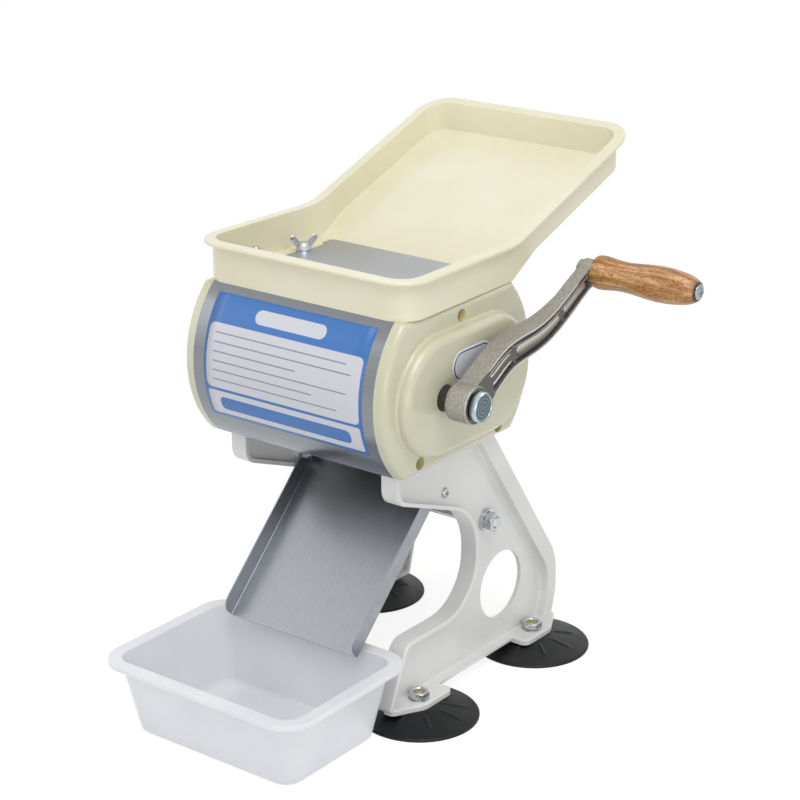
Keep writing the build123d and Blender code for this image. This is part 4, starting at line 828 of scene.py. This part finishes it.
class SLICER_OT_front_label(SlicerOperator):
    """Lays the printed label on the bulging front sheet"""
    bl_idname = "slicer.front_label"
    bl_label = "Front label"

    def execute(self, context):
        look = settings("slicer_label")
        thickness, clearance = 0.15, 0.02
        low, high = box_mm("front_shell")
        centre_y, centre_z = low[1] + BULGE_RADIUS, (low[2] + high[2]) / 2
        half_width, radius = look.half_width / MM, BULGE_RADIUS + clearance
        # The label follows the bulge: x is the width, and an angle t runs up the arc with
        # y = cy - r cos t and z = cz + r sin t.
        width, angle = np.meshgrid(np.linspace(-half_width, half_width, 13),
                                   np.linspace(look.low_angle, look.high_angle, 57),
                                   indexing="ij")
        points = np.stack([width, centre_y - radius * np.cos(angle),
                           centre_z + radius * np.sin(angle)], -1)
        middle = (look.low_angle + look.high_angle) / 2
        half_height = radius * (look.high_angle - look.low_angle) / 2
        flat_map = np.stack([width * MM, (angle - middle) * radius * MM], -1)
        finish = printed_film(half_width, half_height, tuple(look.blue), tuple(look.pale),
                              tuple(look.grey))
        piece = surface("front_label", points, finish, "frame", flat_map=flat_map,
                        closed=False)
        film = piece.modifiers.new("film", "SOLIDIFY")
        film.thickness, film.offset = thickness * MM, 1.0
        return {"FINISHED"}


class SLICER_OT_cover_badge(SlicerOperator):
    """Puts the bare domed badge on the right cover"""
    bl_idname = "slicer.cover_badge"
    bl_label = "Cover badge"

    def execute(self, context):
        look = settings("slicer_label")
        face_x = box_mm("right_cover")[1][0]
        centre_y, centre_z = -39.0, 258.0
        half_straight, radius, dome, steps = 11.5, 11.0, 1.1, 96
        # A stadium drawn in by d has the same straights and arcs of radius r - d. The dome's
        # height is dome * (1 - ((r - d) / r) ^ 8), and the back is flat.
        turn = full_turn(steps)
        side = np.where(np.cos(turn) >= 0, half_straight, -half_straight)
        inset = np.concatenate([[0.0], radius * np.linspace(0, 1, 13) ** 1.6])[:, None]
        reach = radius - inset
        lift = dome * (1 - (reach / radius) ** 8)
        lift[0] = 0.0
        points = np.stack([face_x + lift * np.ones(steps),
                           centre_y + side + reach * np.cos(turn),
                           centre_z + reach * np.sin(turn)], -1)
        back = points[-1:].copy()
        back[..., 0] = face_x
        inset = np.concatenate([[[radius]], inset])
        flat_map = np.stack(np.broadcast_arrays(inset / radius, turn / (2 * np.pi)), -1)
        piece = surface("cover_badge", np.concatenate([back, points]),
                        badge_film(tuple(look.pale), linear("#3A3A44")), "frame",
                        flat_map=flat_map, sharp_deg=50.0)
        return {"FINISHED"}


class SLICER_OT_crank_screw(SlicerOperator):
    """Makes the knurled screw that holds the crank"""
    bl_idname = "slicer.crank_screw"
    bl_label = "Crank screw"

    def execute(self, context):
        look = settings("slicer_fasteners")
        low, high = box_mm("crank_screw")
        radius, end = (high[1] - low[1]) / 2, high[0]
        count, depth = look.knurl_count, look.knurl_depth / MM
        neck, stem = look.neck_radius / MM, look.stem_radius / MM
        rim_start = ARM_TOP_X + look.neck_width / MM
        # Profile from the screw's tip past the neck and over the knurled rim to the face.
        profile = [(0.0, low[0]), (stem, low[0]), (stem, ARM_TOP_X), (neck, ARM_TOP_X),
                   (neck, rim_start), (radius - 0.7, rim_start), (radius, rim_start + 0.6),
                   (radius, (rim_start + end) / 2), (radius, end - 0.9), (radius - 0.8, end),
                   (radius - 1.5, end), (radius - 1.8, end - 0.35), (radius * 0.3, end - 0.45),
                   (0.0, end - 0.45)]
        rim = (np.array(profile)[:, 0] >= radius - 0.01).astype(float)[:, None]

        def knurl(grid, turn):
            wave = np.abs(2 * np.mod(turn * count / (2 * np.pi), 1.0) - 1)
            return grid - depth * wave * rim

        points = along_x(turned(profile, count * 4, knurl), (0.0, SHAFT_Y, SHAFT_Z))
        stand_in("crank_screw", "knurled_crank_screw", [points], turned_zinc(rim_start),
                 "crank", sharp_deg=30.0)
        return {"FINISHED"}


class SLICER_OT_arm_beads(SlicerOperator):
    """Lays the rounded beads along the channelled face of the crank arm"""
    bl_idname = "slicer.arm_beads"
    bl_label = "Crank arm beads"

    def execute(self, context):
        finish = bead_with_painted_light()
        base_x, rise = ARM_TOP_X - SPINE_DROP - 0.1, 0.95

        def spine_half(share):
            return 5.73 - 3.7 * share

        def ridge_half(share):
            return np.ones_like(share)

        # Name, start and end as shares of the arm, side as a share of the spine, half width
        beads = (("upper_root_bead", 0.15, 0.305, 0.62, ridge_half),
                 ("lower_root_bead", 0.15, 0.305, -0.62, ridge_half),
                 ("middle_arm_bead", 0.35, 0.68, 0.0, spine_half),
                 ("outer_arm_bead", 0.72, 0.91, 0.0, spine_half))
        for name, start, end, side, half_width in beads:
            points, flat_map = arm_bead(start, end,
                                        lambda share, side=side: side * spine_half(share),
                                        half_width, base_x, rise)
            piece = surface(name, points, finish, "crank", flat_map=flat_map,
                            sharp_deg=60.0)
        return {"FINISHED"}


class SLICER_OT_nuts(SlicerOperator):
    """Makes the hexagon nuts with their chamfered corners"""
    bl_idname = "slicer.nuts"
    bl_label = "Hexagon nuts"

    def execute(self, context):
        for node, axis, start_x, sides, body in (
                ("tie_rod_nuts", (TIE_Y, TIE_Z), box_mm("tie_rod_washers")[1][0], (1, -1),
                 "frame"),
                ("handle_nut", (GRIP_Y, GRIP_Z), box_mm("handle_nut")[0][0], (1,), "crank")):
            low, high = box_mm(node)
            nut = hex_nut(min(high[1:] - low[1:]), ROD_RADIUS, high[0] - start_x)
            self.make(node, [along_x(nut, (side * start_x, *axis), side) for side in sides],
                      body)
        # Only the tray's front studs, every second one, carry hexagon nuts.
        for node, bore, places in (
                ("cup_nuts", ROD_RADIUS, stud_places("cup_studs", ROD_RADIUS)),
                ("tray_nuts", TRAY_STUD_RADIUS,
                 stud_places("tray_studs", TRAY_STUD_RADIUS)[::2])):
            low, high = box_mm(node)
            # The box reaches past the middle of the first stud by half the width over flats.
            half_flats = min(places[0][0] - low[0], places[0][1] - low[1])
            nut = hex_nut(2 * half_flats, bore, high[2] - low[2])
            self.make(node, [along_z(nut, (x, y, low[2])) for x, y in places], "frame")
        return {"FINISHED"}

    def make(self, node, forms, body):
        """Nuts of one node, with their chamfer arcs kept sharp."""
        stand_in(node, node.replace("_nut", "_hex_nut"), forms, ZINC, body, sharp_deg=20.0)


class SLICER_OT_threads(SlicerOperator):
    """Cuts the threads of the studs and of the tie rod's ends"""
    bl_idname = "slicer.threads"
    bl_label = "Threads"

    def execute(self, context):
        look = settings("slicer_fasteners")
        # The cups' studs end just inside their nuts, and the tray's rear studs in the wing nuts.
        cup_end = box_mm("cup_nuts")[1][2] - 0.2
        rear_end = box_mm("right_wing_nut")[0][2] + look.nut_base_height / MM
        stud = threaded_stud(ROD_RADIUS, look.stud_pitch / MM, box_mm("cup_studs")[0][2], cup_end)
        forms = [along_z(stud, (x, y, 0.0)) for x, y in stud_places("cup_studs", ROD_RADIUS)]
        stand_in("cup_studs", "cup_threaded_studs", forms, YELLOW_ZINC)
        low, high = box_mm("tray_studs")
        studs = [threaded_stud(TRAY_STUD_RADIUS, look.small_pitch / MM, low[2], end, segments=20)
                 for end in (high[2], rear_end)]
        places = stud_places("tray_studs", TRAY_STUD_RADIUS)
        forms = [along_z(stud, (x, y, 0.0)) for (x, y), stud in zip(places, studs * 2)]
        stand_in("tray_studs", "tray_threaded_studs", forms, ZINC)
        low, high = box_mm("tie_rod")
        rod = threaded_stud(ROD_RADIUS, look.tie_pitch / MM, low[0], high[0], segments=32)
        stand_in("tie_rod", "tie_threaded_rod", [along_x(rod, (0.0, TIE_Y, TIE_Z))], ZINC)
        return {"FINISHED"}


class SLICER_OT_screws(SlicerOperator):
    """Makes the cross-recessed screws of the covers, the chute and the grip"""
    bl_idname = "slicer.screws"
    bl_label = "Cross-recessed screws"

    def execute(self, context):
        low, high = box_mm("chute_screws")
        shank, sharp_deg = 2.0, 25.0
        # Node, finish, (y, z) places, radius and height of the head, what holds it, and how
        # deep the tip goes below that
        for node, finish, places, radius, height, carrier, depth in (
                ("cover_screws", YELLOW_ZINC, cover_screw_places(), COVER_SCREW_RADIUS, 2.4,
                 "right_end_plate", 6.0),
                ("chute_screws", ZINC, [centre_mm("chute_screws")[1:]],
                 (high[1] - low[1]) / 2, 2.2, "chute_washers", 9.0)):
            seat = box_mm(node)[1][0] - height
            head = screw_head(radius, height, shank, seat - box_mm(carrier)[1][0] + depth)
            forms = [along_x(head, (side * seat, y, z), side) for y, z in places
                     for side in (1, -1)]
            stand_in(node, node.replace("_", "_cross_"), forms, finish, sharp_deg=sharp_deg)
        low, high = box_mm("handle_spindle")
        seat = GRIP_END_X + 0.3
        head = screw_head((high[1] - low[1]) / 2, high[0] - seat, ROD_RADIUS, seat - low[0],
                          dome=2.0)
        stand_in("handle_spindle", "spindle_cross_screw",
                 [along_x(head, (seat, GRIP_Y, GRIP_Z))], BLADE_STEEL, "crank", sharp_deg)
        return {"FINISHED"}


class SLICER_OT_wing_nuts(SlicerOperator):
    """Makes the wing nuts with rounded wings"""
    bl_idname = "slicer.wing_nuts"
    bl_label = "Wing nuts"

    def execute(self, context):
        look = settings("slicer_fasteners")
        top, bore = look.nut_base_height / MM, TRAY_STUD_RADIUS
        wing_reach, rise_share, half_width, half_thick = 9.4, 0.97, 2.5, 0.75
        base = turned([(bore, 0.0), (5.2, 0.0), (5.5, 0.35), (4.6, top * 0.6),
                       (3.9, top - 0.4), (3.5, top), (bore, top), (bore, 0.0)], 48)
        for side in ("right", "left"):
            node = side + "_wing_nut"
            low, high = box_mm(node)
            wing = nut_wing(wing_reach, (high[2] - low[2]) * rise_share, half_width, half_thick)
            wings = [turned_about_z(wing, look.wing_degrees + half) for half in (0.0, 180.0)]
            forms = [along_z(form, (*centre_mm(node)[:2], low[2])) for form in (base, *wings)]
            stand_in(node, side + "_winged_nut", forms, ZINC, side + "_wing")
        return {"FINISHED"}


class SLICER_OT_cups(SlicerOperator):
    """Makes the rubber suction cups with their creases"""
    bl_idname = "slicer.cups"
    bl_label = "Suction cups"

    def execute(self, context):
        look = settings("slicer_rubber")
        first_seed = 11
        for seed, node in enumerate(FINISHES[RUBBER], first_seed):
            low, high = box_mm(node)
            cup = creased_cup((high[0] - low[0]) / 2, high[2], look.crease_count,
                              look.crease_height / MM, seed)
            stand_in(node, "rubber_" + node, [along_z(cup, (*centre_mm(node)[:2], 0.0))],
                     RUBBER, sharp_deg=60.0)
        return {"FINISHED"}


class SLICER_OT_stage(SlicerOperator):
    """Sets up the pale floor, the studio lamps and the camera"""
    bl_idname = "slicer.stage"
    bl_label = "Studio"

    def execute(self, context):
        look = settings("slicer_stage")
        scene = context.scene
        scene.view_settings.view_transform = "Standard"
        self.make_sky(scene, look.sky_strength)
        self.make_floor()
        target = Vector((0.0, 0.0, look.target_height))
        back = Vector((math.sin(look.azimuth) * math.cos(look.elevation),
                       -math.cos(look.azimuth) * math.cos(look.elevation),
                       math.sin(look.elevation)))
        camera = bpy.data.cameras.new("photo camera")
        camera.lens, camera.sensor_width = look.lens, 36.0
        camera.shift_x, camera.shift_y = look.shift_x, look.shift_y
        scene.camera = self.aimed("photo_camera", camera, target + back * look.distance, target)
        # Place, size and power of each lamp
        lamps = {"key": ((0.55, -0.5, 1.5), 0.9, look.key_power),
                 "fill": ((-1.5, -0.9, 0.8), 1.2, look.fill_power),
                 "low": ((1.5, -1.2, 0.35), 0.8, look.low_power)}
        for name, (place, size, power) in lamps.items():
            lamp = bpy.data.lights.new(name, "AREA")
            lamp.size, lamp.energy = size, power
            self.aimed(name + "_lamp", lamp, Vector(place), target)
        return {"FINISHED"}

    def aimed(self, name, data, place, target):
        """A camera or lamp at a place, aimed at a target."""
        holder = placed(name, data)
        holder.location = place
        holder.rotation_euler = (target - place).to_track_quat("-Z", "Y").to_euler()
        return holder

    def make_sky(self, scene, strength):
        """Even white light, and plain white where the camera, metal or glass see it."""
        scene.world = bpy.data.worlds.new("studio")
        tree = self.empty_tree(scene.world)
        level = ramp_between(tree, self.seen_rays(tree), 0.0, 1.0, strength, 1.0)
        light = add_node(tree, "ShaderNodeBackground",
                         {"Color": (1.0, 1.0, 1.0, 1.0), "Strength": level})
        add_node(tree, "ShaderNodeOutputWorld", {"Surface": light.outputs["Background"]})

    def empty_tree(self, owner):
        """The node tree of a world or material, cleared."""
        owner.use_nodes = True
        owner.node_tree.nodes.clear()
        return owner.node_tree

    def seen_rays(self, tree):
        """1 for camera, glossy and transmission rays."""
        rays = add_node(tree, "ShaderNodeLightPath").outputs
        seen = number_math(tree, "MAXIMUM", rays["Is Camera Ray"], rays["Is Glossy Ray"])
        return number_math(tree, "MAXIMUM", seen, rays["Is Transmission Ray"])

    def make_floor(self):
        """A wide floor that stays white and keeps a soft part of the slicer's shadow."""
        glow_strength, glow_share, reach = 1.27, 0.62, 20.0
        material = bpy.data.materials.new("white studio floor")
        tree = self.empty_tree(material)
        matt = add_node(tree, "ShaderNodeBsdfDiffuse", {"Color": linear("#F4F4F4")})
        glow = add_node(tree, "ShaderNodeEmission",
                        {"Color": (1.0, 1.0, 1.0, 1.0), "Strength": glow_strength})
        share = number_math(tree, "MULTIPLY", self.seen_rays(tree), glow_share)
        mixed = add_node(tree, "ShaderNodeMixShader",
                         {"Fac": share, 1: matt.outputs["BSDF"], 2: glow.outputs["Emission"]})
        add_node(tree, "ShaderNodeOutputMaterial", {"Surface": mixed.outputs["Shader"]})
        mesh = bpy.data.meshes.new("studio_floor")
        mesh.from_pydata([(-reach, -reach, 0.0), (reach, -reach, 0.0), (reach, reach, 0.0),
                          (-reach, reach, 0.0)], [], [(0, 1, 2, 3)])
        mesh.materials.append(material)
        placed("studio_floor", mesh)


class SLICER_PT_panel(bpy.types.Panel):
    """Sidebar panel that lists the slicer's pieces"""
    bl_label = "Meat slicer"
    bl_idname = "SLICER_PT_panel"
    bl_space_type = "VIEW_3D"
    bl_region_type = "UI"
    bl_category = "Slicer"

    def draw(self, context):
        for operator in OPERATORS:
            self.layout.operator(operator.bl_idname)
        for name, group in SETTINGS.items():
            column = self.layout.column(heading=group.__doc__)
            for prop in group.__annotations__:
                column.prop(getattr(context.scene, name), prop)


SETTINGS = {
    "slicer_stage": StageSettings,
    "slicer_label": LabelSettings,
    "slicer_fasteners": FastenerSettings,
    "slicer_rubber": RubberSettings,
}
OPERATORS = [
    SLICER_OT_finishes,
    SLICER_OT_front_label,
    SLICER_OT_cover_badge,
    SLICER_OT_crank_screw,
    SLICER_OT_arm_beads,
    SLICER_OT_nuts,
    SLICER_OT_threads,
    SLICER_OT_screws,
    SLICER_OT_wing_nuts,
    SLICER_OT_cups,
    SLICER_OT_stage,
]


def register():
    """Registers the settings, operators and panel."""
    for name, group in SETTINGS.items():
        bpy.utils.register_class(group)
        setattr(bpy.types.Scene, name, PointerProperty(type=group))
    for cls in OPERATORS + [SLICER_PT_panel]:
        bpy.utils.register_class(cls)


def unregister():
    """Takes them away again."""
    for cls in reversed(OPERATORS + [SLICER_PT_panel]):
        bpy.utils.unregister_class(cls)
    for name, group in SETTINGS.items():
        delattr(bpy.types.Scene, name)
        bpy.utils.unregister_class(group)


def main():
    """Dresses the frame piece by piece and notes both boxes."""
    register()
    for operator in OPERATORS:
        family, name = operator.bl_idname.split(".")
        getattr(getattr(bpy.ops, family), name)()


if __name__ == "__main__":
    main()
